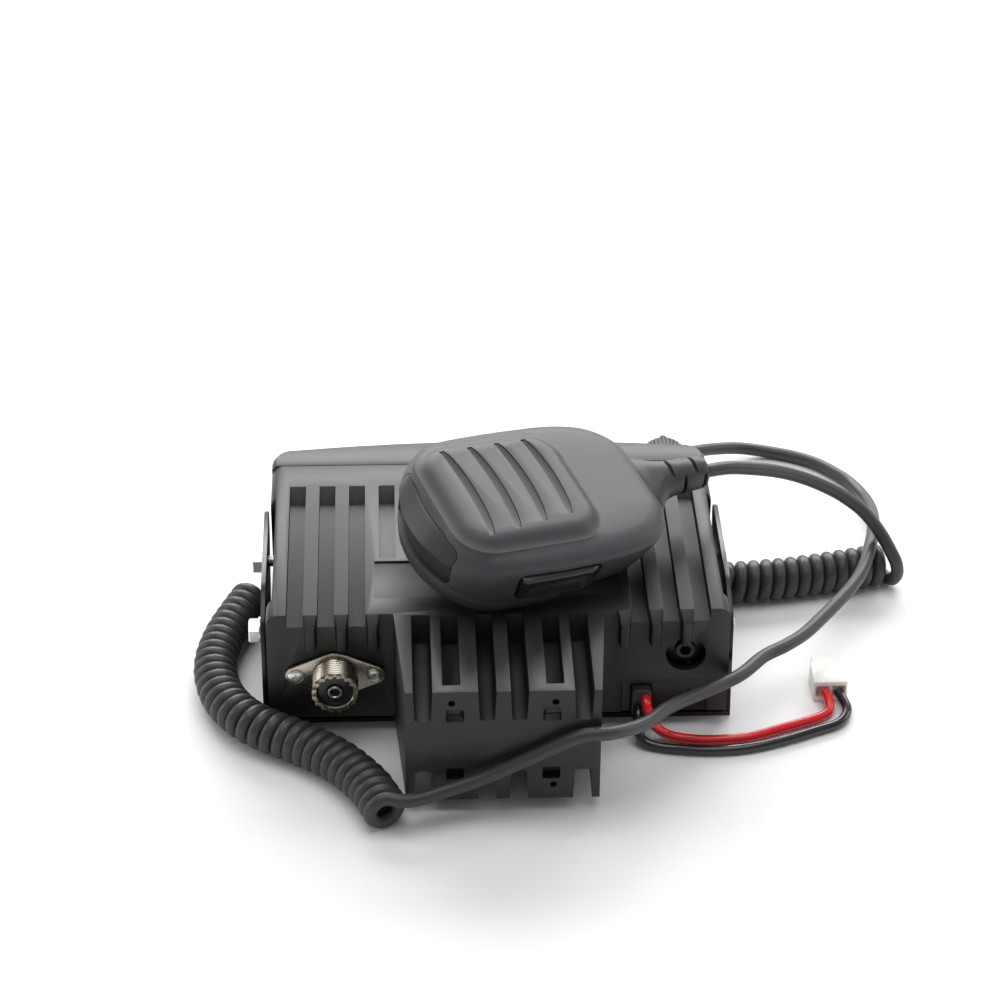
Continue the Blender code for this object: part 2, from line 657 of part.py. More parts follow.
# ---------------------------------------------------------------- bracket

def make_bracket(parent, material):
    base = bmesh.new()
    outer = ARM + SHEET
    block(base, (-outer, BASE_REAR, -LIFT), (outer, BASE_FRONT, SHEET - LIFT))
    bracket = solid("bracket", base, material, parent)
    arms = bmesh.new()
    side = [(BASE_REAR, -LIFT), (BASE_REAR + 1, 4.0), (9.0, 31.0), (12.0, 35.0), (25.0, 39.4), (28.0, 40.0),
            (72.0, 40.0), (75.4, 38.4), (76.0, 35.0), (74.6, 30.0), (58.5, 0.0), (BASE_FRONT, -LIFT)]
    for low, high in ((-outer, -ARM), (ARM, outer)):
        prism(arms, side, low, high, "X")
    boolean(bracket, arms, "UNION")
    holes = bmesh.new()
    for y, z in BOLTS:
        for end in (-1, 1):
            turned(holes, ((2.5, -4.0), (2.5, 4.0)), (end * outer, y, z), "X", 16)
    for x in (-60.0, -30.0, 30.0, 60.0):
        prism(holes, rounded(2.6, 9.0, 2.6, middle=(x, 31.0)), -LIFT - 1, 2 - LIFT)
    boolean(bracket, holes)


def make_bracket_bolts(parent, material):
    outer = ARM + SHEET + GAP
    inner = WIDTH / 2 - 4.0
    for i, (y, z) in enumerate(BOLTS):
        for side, word in ((-1, "left"), (1, "right")):
            shape = bmesh.new()
            # The left heads stand out; the right ones are low.
            head = 4.2 if side < 0 else 1.0
            profile = ((2.0, side * inner), (2.0, side * outer), (4.6, side * outer),
                       (4.6, side * (outer + head * 0.8)), (3.8, side * (outer + head)))
            turned(shape, profile, (0.0, y, z), "X", 24)
            solid("bracket_bolt_%s_%d" % (word, i + 1), shape, material, parent)


# ---------------------------------------------------------------- microphone

def mic_ring(inset, height, slope=0.0):
    """The microphone's outline, drawn in by inset, at a height that may rise to the cord."""
    half = [(x - inset * (1 if x > 10 else -1 if x < -20 else 0), max(0.0, y - inset)) for x, y in MIC_OUTLINE]
    outline = half + [(x, -y) for x, y in reversed(half[:-1])]
    return [(x, y, height + slope * (x + 33.0)) for x, y in outline]


def mic_front_rings():
    return [mic_ring(1.2, MIC_SEAM), mic_ring(0.0, -9.0), mic_ring(1.0, -5.6), mic_ring(3.4, -3.6),
            mic_ring(7.0, -3.0)]


def cap_box(grow):
    shape = bmesh.new()
    block(shape, (-40.0, -21.0 - grow, MIC_SEAM - 2 + grow), (-25.0 + grow, 21.0 + grow, -7.0 + grow))
    return shape


def make_mic_shells(parent, front_material, back_material, cap_material):
    shape = bmesh.new()
    loft(shape, mic_front_rings())
    front = solid("mic_front_shell", shape, front_material, parent)
    pad = bmesh.new()
    rise = rounded(25.0, 24.4, 6.0, 3, (4.0, 0.0))
    top = rounded(22.6, 22.0, 5.0, 3, (4.0, 0.0))
    loft(pad, [[(x, y, -5.0) for x, y in rise], [(x, y, -2.4) for x, y in rise], [(x, y, 0.0) for x, y in top]])
    boolean(front, pad, "UNION")
    slots = bmesh.new()
    for i, x in enumerate(MIC_SLOTS):
        reach = 21.5 - 1.4 * i
        prism(slots, rounded(1.4, reach, 1.3, 2, (x, 0.0)), -1.8, 1.0)
    boolean(front, slots)
    hollow = bmesh.new()
    loft(hollow, [mic_ring(5.0, MIC_SEAM - 1), mic_ring(5.0, -10.0), mic_ring(8.5, -7.0)])
    boolean(front, hollow)
    boolean(front, cap_box(GAP))
    side = bmesh.new()
    block(side, (LEVER[0] - 1.0, -40.0, MIC_SEAM + 1.6), (LEVER[1] + 1.4, -28.0, -9.4))
    boolean(front, side)

    cap_shape = bmesh.new()
    loft(cap_shape, mic_front_rings())
    cap = solid("mic_end_cap", cap_shape, cap_material, parent)
    boolean(cap, cap_box(0.0), "INTERSECT")
    inner = bmesh.new()
    loft(inner, [mic_ring(3.4, MIC_SEAM - 3), mic_ring(3.4, 2.0)])
    boolean(cap, inner)

    back_shape = bmesh.new()
    loft(back_shape, [mic_ring(5.6, MIC_BACK, MIC_BACK_SLOPE), mic_ring(3.0, MIC_BACK + 2.4, MIC_BACK_SLOPE * 0.8),
                      mic_ring(1.3, MIC_SEAM - GAP)])
    back = solid("mic_back_shell", back_shape, back_material, parent)
    holes = bmesh.new()
    for x, y in mic_screws():
        turned(holes, ((2.8, -40.0), (2.8, -26.6), (1.5, -26.2), (1.5, -20.0)), (x, y, 0.0), "Z", 16)
    turned(holes, ((2.6, -40.0), (2.6, -20.0)), (-12.0, 4.0, 0.0), "Z", 16)
    boolean(back, holes)


def mic_screws():
    return ((-16.0, -14.0), (-16.0, 14.0), (44.0, 0.0))


def make_mic_inside(parent, board, metal, black):
    plate = bmesh.new()
    block(plate, (-14.0, -20.0, -19.0), (46.0, 20.0, -17.4))
    solid("mic_board", plate, board, parent)
    capsule = bmesh.new()
    turned(capsule, ((4.8, -17.0), (4.8, -11.0)), (2.0, 0.0, 0.0), "Z", 24)
    solid("mic_capsule", capsule, metal, parent)
    switch = bmesh.new()
    block(switch, (-2.0, -27.4, -19.0), (5.0, -22.0, -12.0))
    solid("ptt_switch", switch, black, parent)
    for i, (x, y) in enumerate(mic_screws()):
        screw = bmesh.new()
        turned(screw, ((2.3, -28.4), (2.3, -27.0), (1.2, -26.8), (1.2, -20.0)), (x, y, 0.0), "Z", 16)
        solid("mic_screw_%d" % (i + 1), screw, metal, parent)
    stud = bmesh.new()
    profile = ((3.6, -36.8), (4.4, -36.2), (4.4, -34.2), (2.6, -33.4), (2.6, -30.9), (2.2, -30.9), (2.2, -20.4))
    turned(stud, profile, (-12.0, 4.0, 0.0), "Z", 20)
    solid("hanger_stud", stud, metal, parent)


def oval(x, half_y, half_z, middle):
    ring = []
    for i in range(24):
        angle = 2 * math.pi * i / 24
        ring.append((x, half_y * math.cos(angle), middle + half_z * math.sin(angle)))
    return ring


def make_mic_boot(parent, material):
    shape = bmesh.new()
    loft(shape, [oval(58.3, 15.6, 7.6, -12.2), oval(60.0, 13.4, 7.6, -11.4), oval(62.4, 9.8, 7.2, -10.0),
                 oval(65.4, 7.2, 6.8, -9.0), oval(69.0, 6.4, 6.5, -8.3), oval(79.0, 5.8, 6.0, -7.7),
                 oval(81.8, 4.8, 5.0, -7.6)])
    solid("mic_boot", shape, material, parent)


def make_ptt_lever(parent, material):
    """The lever swings about an axis across the microphone's thickness."""
    guide = empty("ptt_axis", (LEVER[1] - 1.0, -31.6, -14.6), parent=parent)
    shape = bmesh.new()
    length = LEVER[1] - LEVER[0]
    plan = [(1.0, 1.6), (1.0, -2.2), (-2.0, -3.8), (2.0 - length, -4.6), (1.0 - length, -3.4), (1.0 - length, 1.6)]
    prism(shape, plan, -5.0, 4.6)
    lever = solid("ptt_lever", shape, material, guide)
    bevel(lever, 0.8, 2)


# ---------------------------------------------------------------- cords

def make_cords(parent, rubber, red, black, clear):
    tube("cord_mic_tail", MIC_TAIL, CORD, rubber, parent)
    tube("cord_right_coil", RIGHT_COIL, COIL, rubber, parent, 0.5, 4)
    tube("cord_under_radio", UNDER, CORD, rubber, parent)
    tube("cord_left_coil", LEFT_COIL, COIL, rubber, parent, 0.5, 4)
    tube("cord_radio_tail", RADIO_TAIL, CORD, rubber, parent)
    tube("dc_wire_red", RED_WIRE, WIRE, red, parent, 1.3)
    tube("dc_wire_black", BLACK_WIRE, WIRE, black, parent, 1.3)
    shape = bmesh.new()
    low, high = CONNECTOR
    block(shape, (low[0], low[1], low[2] - LIFT), (high[0], high[1], high[2] - LIFT))
    connector = solid("dc_connector", shape, clear, parent)
    bevel(connector, 0.6, 2)


def main():
    for item in list(bpy.data.objects):
        bpy.data.objects.remove(item, do_unlink=True)

    casting = paint("black_casting", (0.030, 0.030, 0.032), 0.42)
    plastic = paint("black_plastic", (0.045, 0.046, 0.048), 0.5)
    mic_plastic = paint("dark_grey_plastic", (0.060, 0.062, 0.066), 0.5)
    cap_plastic = paint("smooth_grey_plastic", (0.050, 0.052, 0.055), 0.4)
    rubber = paint("cord_rubber", (0.050, 0.050, 0.052), 0.45)
    steel = paint("black_steel", (0.025, 0.025, 0.026), 0.35, 0.3)
    nickel = paint("nickel_plate", (0.62, 0.58, 0.52), 0.28, 1.0)
    zinc = paint("bright_zinc", (0.66, 0.65, 0.60), 0.32, 1.0)
    insulator = paint("black_insulator", (0.012, 0.012, 0.013), 0.35)
    board = paint("green_board", (0.02, 0.12, 0.05), 0.5)
    glass = paint("dark_window", (0.02, 0.025, 0.02), 0.08)
    red = paint("red_wire", (0.55, 0.02, 0.015), 0.3)
    black = paint("black_wire", (0.02, 0.02, 0.02), 0.3)
    clear = paint("milky_connector", (0.80, 0.79, 0.74), 0.35)

    radio = empty("radio_frame", (0.0, -(BASE_REAR + BASE_FRONT) / 2, LIFT))
    mic = empty("mic_frame", MIC_PLACE, (MIC_TILT, MIC_DIP, MIC_TURN), radio)

    make_chassis(radio, casting)
    make_bottom_cover(radio, steel)
    make_cover_screws(radio, zinc)
    make_antenna_socket(radio, nickel, insulator)
    make_speaker_jack(radio, insulator)
    make_supply_entry(radio, steel, rubber)
    make_front_panel(radio, plastic)
    make_display(radio, glass, board)
    make_keys(radio, plastic)
    make_volume_knob(radio, plastic)
    make_mic_jack(radio, insulator, plastic)
    make_inside(radio, board, insulator, zinc)
    make_bracket(radio, steel)
    make_bracket_bolts(radio, zinc)
    make_mic_shells(mic, mic_plastic, mic_plastic, cap_plastic)
    make_mic_inside(mic, board, zinc, insulator)
    make_mic_boot(mic, rubber)
    make_ptt_lever(mic, plastic)
    make_cords(radio, rubber, red, black, clear)


main()
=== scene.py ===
# %% [markdown]
# # A mobile transceiver with its hand microphone
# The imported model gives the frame: every sub-part, where it lies and what moves.  This script gives the
# looks.  It starts with the frame and with the box that the whole object fills, which no piece may leave.

# %% Load the frame
import math

import bmesh
import bpy
from mathutils import Euler, Matrix, Vector


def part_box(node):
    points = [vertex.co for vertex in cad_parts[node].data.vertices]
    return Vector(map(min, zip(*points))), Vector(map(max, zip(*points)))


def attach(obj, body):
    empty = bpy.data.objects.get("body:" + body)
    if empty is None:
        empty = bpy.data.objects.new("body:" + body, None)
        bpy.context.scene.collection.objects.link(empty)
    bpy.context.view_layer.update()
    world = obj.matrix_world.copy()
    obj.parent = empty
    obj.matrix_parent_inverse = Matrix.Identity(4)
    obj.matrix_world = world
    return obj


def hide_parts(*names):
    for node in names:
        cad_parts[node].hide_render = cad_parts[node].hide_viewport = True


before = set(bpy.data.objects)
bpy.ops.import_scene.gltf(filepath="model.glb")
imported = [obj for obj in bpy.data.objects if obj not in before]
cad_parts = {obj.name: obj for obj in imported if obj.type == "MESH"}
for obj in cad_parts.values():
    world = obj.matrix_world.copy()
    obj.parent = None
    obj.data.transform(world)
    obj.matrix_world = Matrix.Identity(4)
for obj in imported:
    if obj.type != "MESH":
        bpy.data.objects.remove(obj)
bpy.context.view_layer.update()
MM = 0.001
print("nodes:", len(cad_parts))

# %% [markdown]
# Three local frames save a lot of arithmetic, as every size can then be written in millimetres.  The radio's
# own starts at the foot of the rear panel, the microphone's lies in its face, with X to the cord and Z out of
# the face, and the ground's has the radio's X and Y with heights above the floor.  World coordinates for each
# point would do too, but nobody could check them against a ruler.

# %% Local frames
CHASSIS_DEPTH = 95.0
chassis_low, chassis_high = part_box("chassis")
REAR_PANEL_FOOT = (0.0, chassis_high[1] - CHASSIS_DEPTH * MM, chassis_low[2])
RADIO = Matrix.Translation(REAR_PANEL_FOOT) @ Matrix.Scale(MM, 4)
MIC_PLACE = (2.1, 24.8, 80.0)
MIC_TURN = Euler((math.radians(12.0), math.radians(6.75), math.radians(24.2)))
MIC = RADIO @ Matrix.Translation(MIC_PLACE) @ MIC_TURN.to_matrix().to_4x4()
GROUND = RADIO @ Matrix.Translation((0.0, 0.0, -chassis_low[2] / MM))
print("cabinet stands", round(chassis_low[2] / MM, 2), "mm above the floor")

# %% [markdown]
# ## Camera and light
# The camera stands behind the radio and looks down on it through a long lens.  The light is a white studio:
# a large soft source beyond the object, which glances off every top surface, and little from the near side,
# so the walls that face the camera stay dark.  One lamp overhead would be simpler, but it lights the tops and
# the walls alike, and black castings then lose their ribs.

# %% Camera
camera = bpy.data.objects.new("camera", bpy.data.cameras.new("camera"))
bpy.context.scene.collection.objects.link(camera)
bpy.context.scene.camera = camera
CAMERA_PLACE = (-0.03529, -0.90757, 0.66899)
CAMERA_TARGET = (0.00256, 0.0294, 0.05695)
CAMERA_ROLL = math.radians(0.384)
camera.location = CAMERA_PLACE
look = Vector(CAMERA_TARGET) - camera.location
aim = look.to_track_quat("-Z", "Y").to_matrix().to_4x4()
camera.matrix_world = Matrix.Translation(camera.location) @ aim @ Matrix.Rotation(CAMERA_ROLL, 4, "Z")
camera.data.lens = 112.7
camera.data.clip_start = 0.01
print("camera distance:", round(look.length, 3), "m")

# %% Floor and light
FLOOR_SIZE = 6.0
shape = bmesh.new()
bmesh.ops.create_grid(shape, x_segments=1, y_segments=1, size=FLOOR_SIZE / 2)
floor_mesh = bpy.data.meshes.new("floor")
shape.to_mesh(floor_mesh)
shape.free()
floor = bpy.data.objects.new("floor", floor_mesh)
bpy.context.scene.collection.objects.link(floor)
floor_paint = bpy.data.materials.new("white_sweep")
floor_paint.use_nodes = True
floor_shader = floor_paint.node_tree.nodes["Principled BSDF"]
floor_shader.inputs["Base Color"].default_value = (0.92, 0.92, 0.92, 1.0)
floor_shader.inputs["Roughness"].default_value = 0.9
floor_mesh.materials.append(floor_paint)


def softbox(name, place, target, size, watts):
    light = bpy.data.lights.new(name, "AREA")
    light.shape = "RECTANGLE"
    light.size, light.size_y = size
    light.energy = watts
    lamp = bpy.data.objects.new(name, light)
    lamp.location = place
    lamp.rotation_euler = (Vector(target) - Vector(place)).to_track_quat("-Z", "Y").to_euler()
    bpy.context.scene.collection.objects.link(lamp)


softbox("far_softbox", (0.1, 1.60, 1.05), (0.0, 0.0, 0.03), (2.4, 1.0), 56.0)
softbox("top_softbox", (0.0, -0.1, 1.7), (0.0, 0.0, 0.0), (1.5, 1.2), 13.0)
softbox("left_softbox", (-1.5, 0.3, 0.6), (0.0, 0.0, 0.03), (0.6, 0.7), 5.0)
softbox("right_softbox", (1.5, 0.3, 0.7), (0.0, 0.0, 0.03), (0.6, 0.7), 4.0)
bpy.context.scene.view_settings.view_transform = "Standard"
world = bpy.data.worlds.new("studio")
bpy.context.scene.world = world
world.use_nodes = True
sky = world.node_tree.nodes["Background"]
sky.inputs["Color"].default_value = (1.0, 1.0, 1.0, 1.0)
sky.inputs["Strength"].default_value = 0.30


# %% [markdown]
# ## Finishes
# Most of the object is moulded plastic, painted metal or rubber.  Up close each shows a fine grain, so one
# node group makes that grain: a small noise for the bump, and a broad one that changes colour and gloss a
# little from place to place.  Each material sets its own scale, depth and spread.  A plain colour would be
# quicker, but a black surface with no grain looks like a hole, as nothing on it catches the light.

# %% The grain group
def new_group(name, inputs, outputs):
    group = bpy.data.node_groups.new(name, "ShaderNodeTree")
    for label, kind, value in inputs:
        socket = group.interface.new_socket(label, in_out="INPUT", socket_type=kind)
        socket.default_value = value
    for label, kind in outputs:
        group.interface.new_socket(label, in_out="OUTPUT", socket_type=kind)
    return group, group.nodes.new("NodeGroupInput"), group.nodes.new("NodeGroupOutput")


def noise(tree, coordinates, scale, detail=3.0):
    node = tree.nodes.new("ShaderNodeTexNoise")
    node.inputs["Detail"].default_value = detail
    tree.links.new(coordinates, node.inputs["Vector"])
    if isinstance(scale, float):
        node.inputs["Scale"].default_value = scale
    else:
        tree.links.new(scale, node.inputs["Scale"])
    return node.outputs["Fac"]


def spread_about(tree, factor, middle, spread):
    """Middle plus or minus spread, where factor runs from 0 to 1."""
    centred = tree.nodes.new("ShaderNodeMath")
    centred.operation = "SUBTRACT"
    centred.inputs[1].default_value = 0.5
    tree.links.new(factor, centred.inputs[0])
    result = tree.nodes.new("ShaderNodeMath")
    result.operation = "MULTIPLY_ADD"
    tree.links.new(centred.outputs[0], result.inputs[0])
    tree.links.new(spread, result.inputs[1])
    tree.links.new(middle, result.inputs[2])
    return result.outputs[0]


BROAD_SCALE = 60.0
GRAIN_DEPTH = 0.1


def make_grain():
    tree, given, result = new_group(
        "fine_grain",
        (("Colour", "NodeSocketColor", (0.05, 0.05, 0.05, 1.0)), ("Roughness", "NodeSocketFloat", 0.45),
         ("Scale", "NodeSocketFloat", 3000.0), ("Depth", "NodeSocketFloat", 0.15),
         ("Spread", "NodeSocketFloat", 0.25)),
        (("Colour", "NodeSocketColor"), ("Roughness", "NodeSocketFloat"), ("Normal", "NodeSocketVector")))
    where = tree.nodes.new("ShaderNodeTexCoord").outputs["Object"]
    fine = noise(tree, where, given.outputs["Scale"])
    broad = noise(tree, where, BROAD_SCALE, 2.0)
    one = tree.nodes.new("ShaderNodeValue")
    one.outputs[0].default_value = 1.0
    level = spread_about(tree, broad, one.outputs[0], given.outputs["Spread"])
    tint = tree.nodes.new("ShaderNodeVectorMath")
    tint.operation = "SCALE"
    tree.links.new(given.outputs["Colour"], tint.inputs[0])
    tree.links.new(level, tint.inputs["Scale"])
    tree.links.new(tint.outputs[0], result.inputs["Colour"])
    gloss = spread_about(tree, fine, given.outputs["Roughness"], given.outputs["Spread"])
    tree.links.new(gloss, result.inputs["Roughness"])
    bump = tree.nodes.new("ShaderNodeBump")
    bump.inputs["Distance"].default_value = GRAIN_DEPTH * MM
    tree.links.new(given.outputs["Depth"], bump.inputs["Strength"])
    tree.links.new(fine, bump.inputs["Height"])
    tree.links.new(bump.outputs["Normal"], result.inputs["Normal"])
    return tree


GRAIN = make_grain()


def grained(name, colour, roughness, scale, depth, spread=0.12, metallic=0.0, **sockets):
    """A material with the grain group; other sockets are set on the shader itself."""
    material = bpy.data.materials.new(name)
    material.use_nodes = True
    tree = material.node_tree
    shader = tree.nodes["Principled BSDF"]
    group = tree.nodes.new("ShaderNodeGroup")
    group.node_tree = GRAIN
    group.inputs["Colour"].default_value = (*colour, 1.0)
    for label, value in (("Roughness", roughness), ("Scale", scale), ("Depth", depth), ("Spread", spread)):
        group.inputs[label].default_value = value
    tree.links.new(group.outputs["Colour"], shader.inputs["Base Color"])
    tree.links.new(group.outputs["Roughness"], shader.inputs["Roughness"])
    tree.links.new(group.outputs["Normal"], shader.inputs["Normal"])
    shader.inputs["Metallic"].default_value = metallic
    for label, value in sockets.items():
        shader.inputs[label.replace("_", " ").title()].default_value = value
    return material


# %% The finishes by name
casting_paint = grained("casting_paint", (0.012, 0.012, 0.013), 0.46, 2600.0, 0.35)
panel_plastic = grained("panel_plastic", (0.013, 0.013, 0.014), 0.44, 4000.0, 0.2)
mic_plastic = grained("microphone_plastic", (0.046, 0.048, 0.054), 0.50, 4200.0, 0.4)
cap_plastic = grained("cap_plastic", (0.030, 0.031, 0.035), 0.42, 5000.0, 0.12)
lever_plastic = grained("lever_plastic", (0.014, 0.014, 0.015), 0.36, 4000.0, 0.15)
cord_jacket = grained("cord_jacket", (0.036, 0.036, 0.038), 0.44, 3200.0, 0.15)
boot_rubber = grained("boot_rubber", (0.034, 0.035, 0.039), 0.48, 3600.0, 0.25)
sheet_paint = grained("sheet_paint", (0.008, 0.008, 0.009), 0.30, 1500.0, 0.10)
nickel = grained("nickel_plate", (0.44, 0.40, 0.34), 0.27, 2800.0, 0.5, 0.10, 1.0)
zinc = grained("bright_zinc", (0.72, 0.71, 0.66), 0.30, 2200.0, 0.2, 0.10, 1.0)
insulator = grained("black_insulator", (0.010, 0.010, 0.011), 0.32, 3000.0, 0.1)
board_mask = grained("board_mask", (0.015, 0.10, 0.045), 0.40, 900.0, 0.2)
window_tint = grained("window_tint", (0.010, 0.013, 0.012), 0.08, 800.0, 0.0, 0.02, coat_weight=0.6)
red_jacket = grained("red_jacket", (0.74, 0.016, 0.020), 0.24, 1800.0, 0.08, 0.08, coat_weight=0.4)
black_jacket = grained("black_jacket", (0.012, 0.012, 0.013), 0.24, 1800.0, 0.08, 0.08, coat_weight=0.4)
milky_nylon = grained("milky_nylon", (0.80, 0.79, 0.75), 0.32, 1500.0, 0.15, 0.05, subsurface_weight=0.25,
                      subsurface_scale=0.004)
print("materials:", len(bpy.data.materials))


# %% [markdown]
# ## Helpers for shapes
# Every piece is a closed mesh built in millimetres in one of the local frames, then moved into place once,
# so that its object stays at the origin.  Four shapes go a long way: a block, a loft through rings, a turned
# profile and a prism.  Holes and recesses are cut by a Boolean with a second shape.

# %% Helpers
def piece_from(name, shape, place, material, body="root", nodes=(), smooth=32.0, modifiers=()):
    """Bakes a bmesh in millimetres, with its modifiers, into a finished piece."""
    bmesh.ops.recalc_face_normals(shape, faces=shape.faces)
    shape.transform(place)
    mesh = bpy.data.meshes.new(name)
    shape.to_mesh(mesh)
    shape.free()
    return finished(name, mesh, material, body, nodes, smooth, modifiers)


def finished(name, mesh, material, body="root", nodes=(), smooth=32.0, modifiers=()):
    """Gives a mesh its modifiers, material, smoothing in degrees and body."""
    piece = bpy.data.objects.new(name, mesh)
    bpy.context.scene.collection.objects.link(piece)
    for kind, settings in modifiers:
        modifier = piece.modifiers.new(kind.title(), kind)
        for key, value in settings.items():
            setattr(modifier, key, value)
    if modifiers:
        seen = piece.evaluated_get(bpy.context.evaluated_depsgraph_get())
        baked = bpy.data.meshes.new_from_object(seen)
        piece.modifiers.clear()
        piece.data = baked
    piece.data.materials.clear()
    piece.data.materials.append(material)
    piece.data.shade_smooth()
    piece.data.set_sharp_from_angle(angle=math.radians(smooth))
    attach(piece, body)
    if nodes:
        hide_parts(*nodes)
    print("made", name, "with", len(piece.data.polygons), "faces")
    return piece


def block(shape, low, high):
    """A box from its lowest to its highest corner."""
    corners = bmesh.ops.create_cube(shape, size=1.0)["verts"]
    bmesh.ops.scale(shape, vec=Vector(high) - Vector(low), verts=corners)
    bmesh.ops.translate(shape, vec=(Vector(low) + Vector(high)) / 2, verts=corners)


def loft(shape, rings, closed_ends=True):
    """Faces from each ring of points to the next, and one over each end."""
    made = [[shape.verts.new(point) for point in ring] for ring in rings]
    count = len(made[0])
    for first, second in zip(made, made[1:]):
        for i in range(count):
            j = (i + 1) % count
            shape.faces.new((first[i], first[j], second[j], second[i]))
    if closed_ends:
        shape.faces.new(made[0])
        shape.faces.new(made[-1])


def turned(shape, profile, middle=(0.0, 0.0, 0.0), axis="Y", sides=48):
    """Revolves (radius, along) pairs about an axis."""
    def point(radius, along, angle):
        a = radius * math.cos(angle)
        b = radius * math.sin(angle)
        return Vector(middle) + Vector({"X": (along, a, b), "Y": (a, along, b), "Z": (a, b, along)}[axis])
    angles = [2 * math.pi * i / sides for i in range(sides)]
    loft(shape, [[point(r, s, angle) for angle in angles] for r, s in profile])


def rounded(half_x, half_y, radius, steps=5, middle=(0.0, 0.0)):
    """The outline of a rectangle with round corners."""
    outline = []
    for quarter, (sx, sy) in enumerate(((1, 1), (-1, 1), (-1, -1), (1, -1))):
        for i in range(steps + 1):
            angle = math.pi / 2 * (quarter + i / steps)
            outline.append((middle[0] + sx * (half_x - radius) + radius * math.cos(angle),
                            middle[1] + sy * (half_y - radius) + radius * math.sin(angle)))
    return outline


def prism(shape, outline, low, high, axis="Z"):
    """A plane outline drawn out from low to high along an axis."""
    def point(a, b, along):
        return {"X": (along, a, b), "Y": (a, along, b), "Z": (a, b, along)}[axis]
    loft(shape, [[point(a, b, along) for a, b in outline] for along in (low, high)])


cutters = bpy.data.collections.new("cutters")


def cutter(shape, place):
    """An object for a Boolean, kept out of the scene."""
    bmesh.ops.recalc_face_normals(shape, faces=shape.faces)
    shape.transform(place)
    mesh = bpy.data.meshes.new("cutter")
    shape.to_mesh(mesh)
    shape.free()
    tool = bpy.data.objects.new("cutter", mesh)
    cutters.objects.link(tool)
    return tool


def cut(tool, operation="DIFFERENCE"):
    return ("BOOLEAN", {"operation": operation, "object": tool, "solver": "EXACT"})


def edge_round(width, segments=2, angle=35.0):
    return ("BEVEL", {"width": width * MM, "segments": segments, "limit_method": "ANGLE",
                      "angle_limit": math.radians(angle), "use_clamp_overlap": True, "harden_normals": False})


def cad_copy(node):
    """A CAD node's mesh, merged and with its flat faces joined up, ready to be worked on."""
    shape = bmesh.new()
    shape.from_mesh(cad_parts[node].data)
    bmesh.ops.remove_doubles(shape, verts=shape.verts, dist=1e-6)
    bmesh.ops.dissolve_limit(shape, angle_limit=math.radians(0.4), verts=shape.verts, edges=shape.edges)
    mesh = bpy.data.meshes.new(node)
    shape.to_mesh(mesh)
    shape.free()
    return mesh


def refinish(material, slot, *nodes):
    """A CAD node whose shape is right keeps its mesh and gets the better material."""
    for node in nodes:
        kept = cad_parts[node]
        for holder in kept.material_slots:
            holder.material = material
        print("kept", node, "as", slot)


# %% [markdown]
# ## Cords
# A cord is settled before anything else: where it leaves, how thick it is, its route and what is on its end.
# The route's points are the ones that the model's own cord solids follow, x, y and height above the ground.
# A smooth curve runs through them.  The curly stretches are helices about their own middle lines, so that the
# cord is one curve from the microphone to the plug.  A tube with a screw-shaped dent in it would look alike
# from afar, but it has no gaps between its turns and no true length.

# %% Cord routes
CORD = 4.8
COIL = 15.6
WIRE = 3.5
MIC_TAIL = ((76.0, 59.8, 68.4), (83.2, 64.0, 66.8), (89.6, 68.0, 64.2), (101.3, 75.5, 58.1),
            (110.3, 81.0, 52.5), (119.2, 85.0, 46.6), (128.1, 87.8, 40.1), (134.0, 88.4, 35.4),
            (138.6, 88.0, 31.4), (142.7, 86.6, 26.7), (146.1, 84.4, 22.2), (148.8, 82.0, 17.8),
            (151.0, 80.5, 13.6), (151.9, 80.6, 9.2), (151.3, 82.2, 5.2), (149.8, 85.2, 2.9))
RIGHT_COIL = ((147.0, 87.8, 8.0), (140.5, 85.8, 8.0), (131.0, 83.6, 8.0), (120.0, 81.0, 8.0),
              (108.0, 78.8, 8.0), (96.0, 77.4, 8.0), (87.6, 76.8, 8.0))
UNDER = ((85.4, 72.6, 3.4), (80.0, 74.6, 2.5), (60.0, 75.4, 2.5), (30.0, 74.2, 2.5), (0.0, 73.2, 2.5),
         (-30.0, 72.4, 2.5), (-60.0, 72.6, 2.5), (-76.0, 74.4, 2.5))
LEFT_COIL = ((-88.2, 71.4, 8.0), (-92.6, 60.5, 8.0), (-97.0, 48.0, 8.0), (-99.6, 34.5, 8.0),
             (-99.4, 23.5, 8.0), (-97.0, 13.0, 8.0), (-92.6, 3.6, 8.4), (-86.4, -4.6, 8.8),
             (-78.2, -10.8, 8.6), (-68.0, -16.6, 8.2), (-57.2, -25.2, 8.0), (-50.4, -33.0, 8.0),
             (-44.8, -41.4, 8.0), (-41.8, -48.2, 8.0), (-39.4, -54.4, 8.0))
RADIO_TAIL = ((-34.6, -55.4, 13.2), (-29.0, -54.2, 12.7), (-21.4, -51.8, 13.6), (-6.2, -49.4, 17.8),
              (9.9, -49.2, 26.0), (25.6, -49.2, 34.2), (36.0, -47.9, 34.3), (47.6, -38.0, 30.4),
              (58.0, -23.4, 26.6), (73.2, -10.2, 24.0), (84.4, -0.6, 22.6), (93.6, 11.2, 21.6),
              (102.3, 18.7, 20.8), (110.0, 26.7, 20.0), (117.6, 37.0, 19.6), (124.1, 46.3, 19.4),
              (130.8, 56.3, 19.4), (136.6, 67.9, 19.2), (141.2, 82.7, 18.8), (144.8, 98.7, 16.0),
              (147.4, 116.3, 11.0), (148.0, 129.3, 7.0), (147.4, 140.3, 4.0), (144.4, 151.2, 2.5),
              (139.5, 158.8, 2.5), (131.8, 167.1, 2.5), (123.7, 172.2, 2.5), (114.2, 175.6, 2.7),
              (103.5, 175.5, 4.6), (93.8, 170.2, 8.0), (84.8, 163.0, 11.6), (75.6, 156.0, 14.4),
              (69.6, 151.0, 15.8), (66.3, 144.0, 16.9), (66.0, 137.8, 17.0))
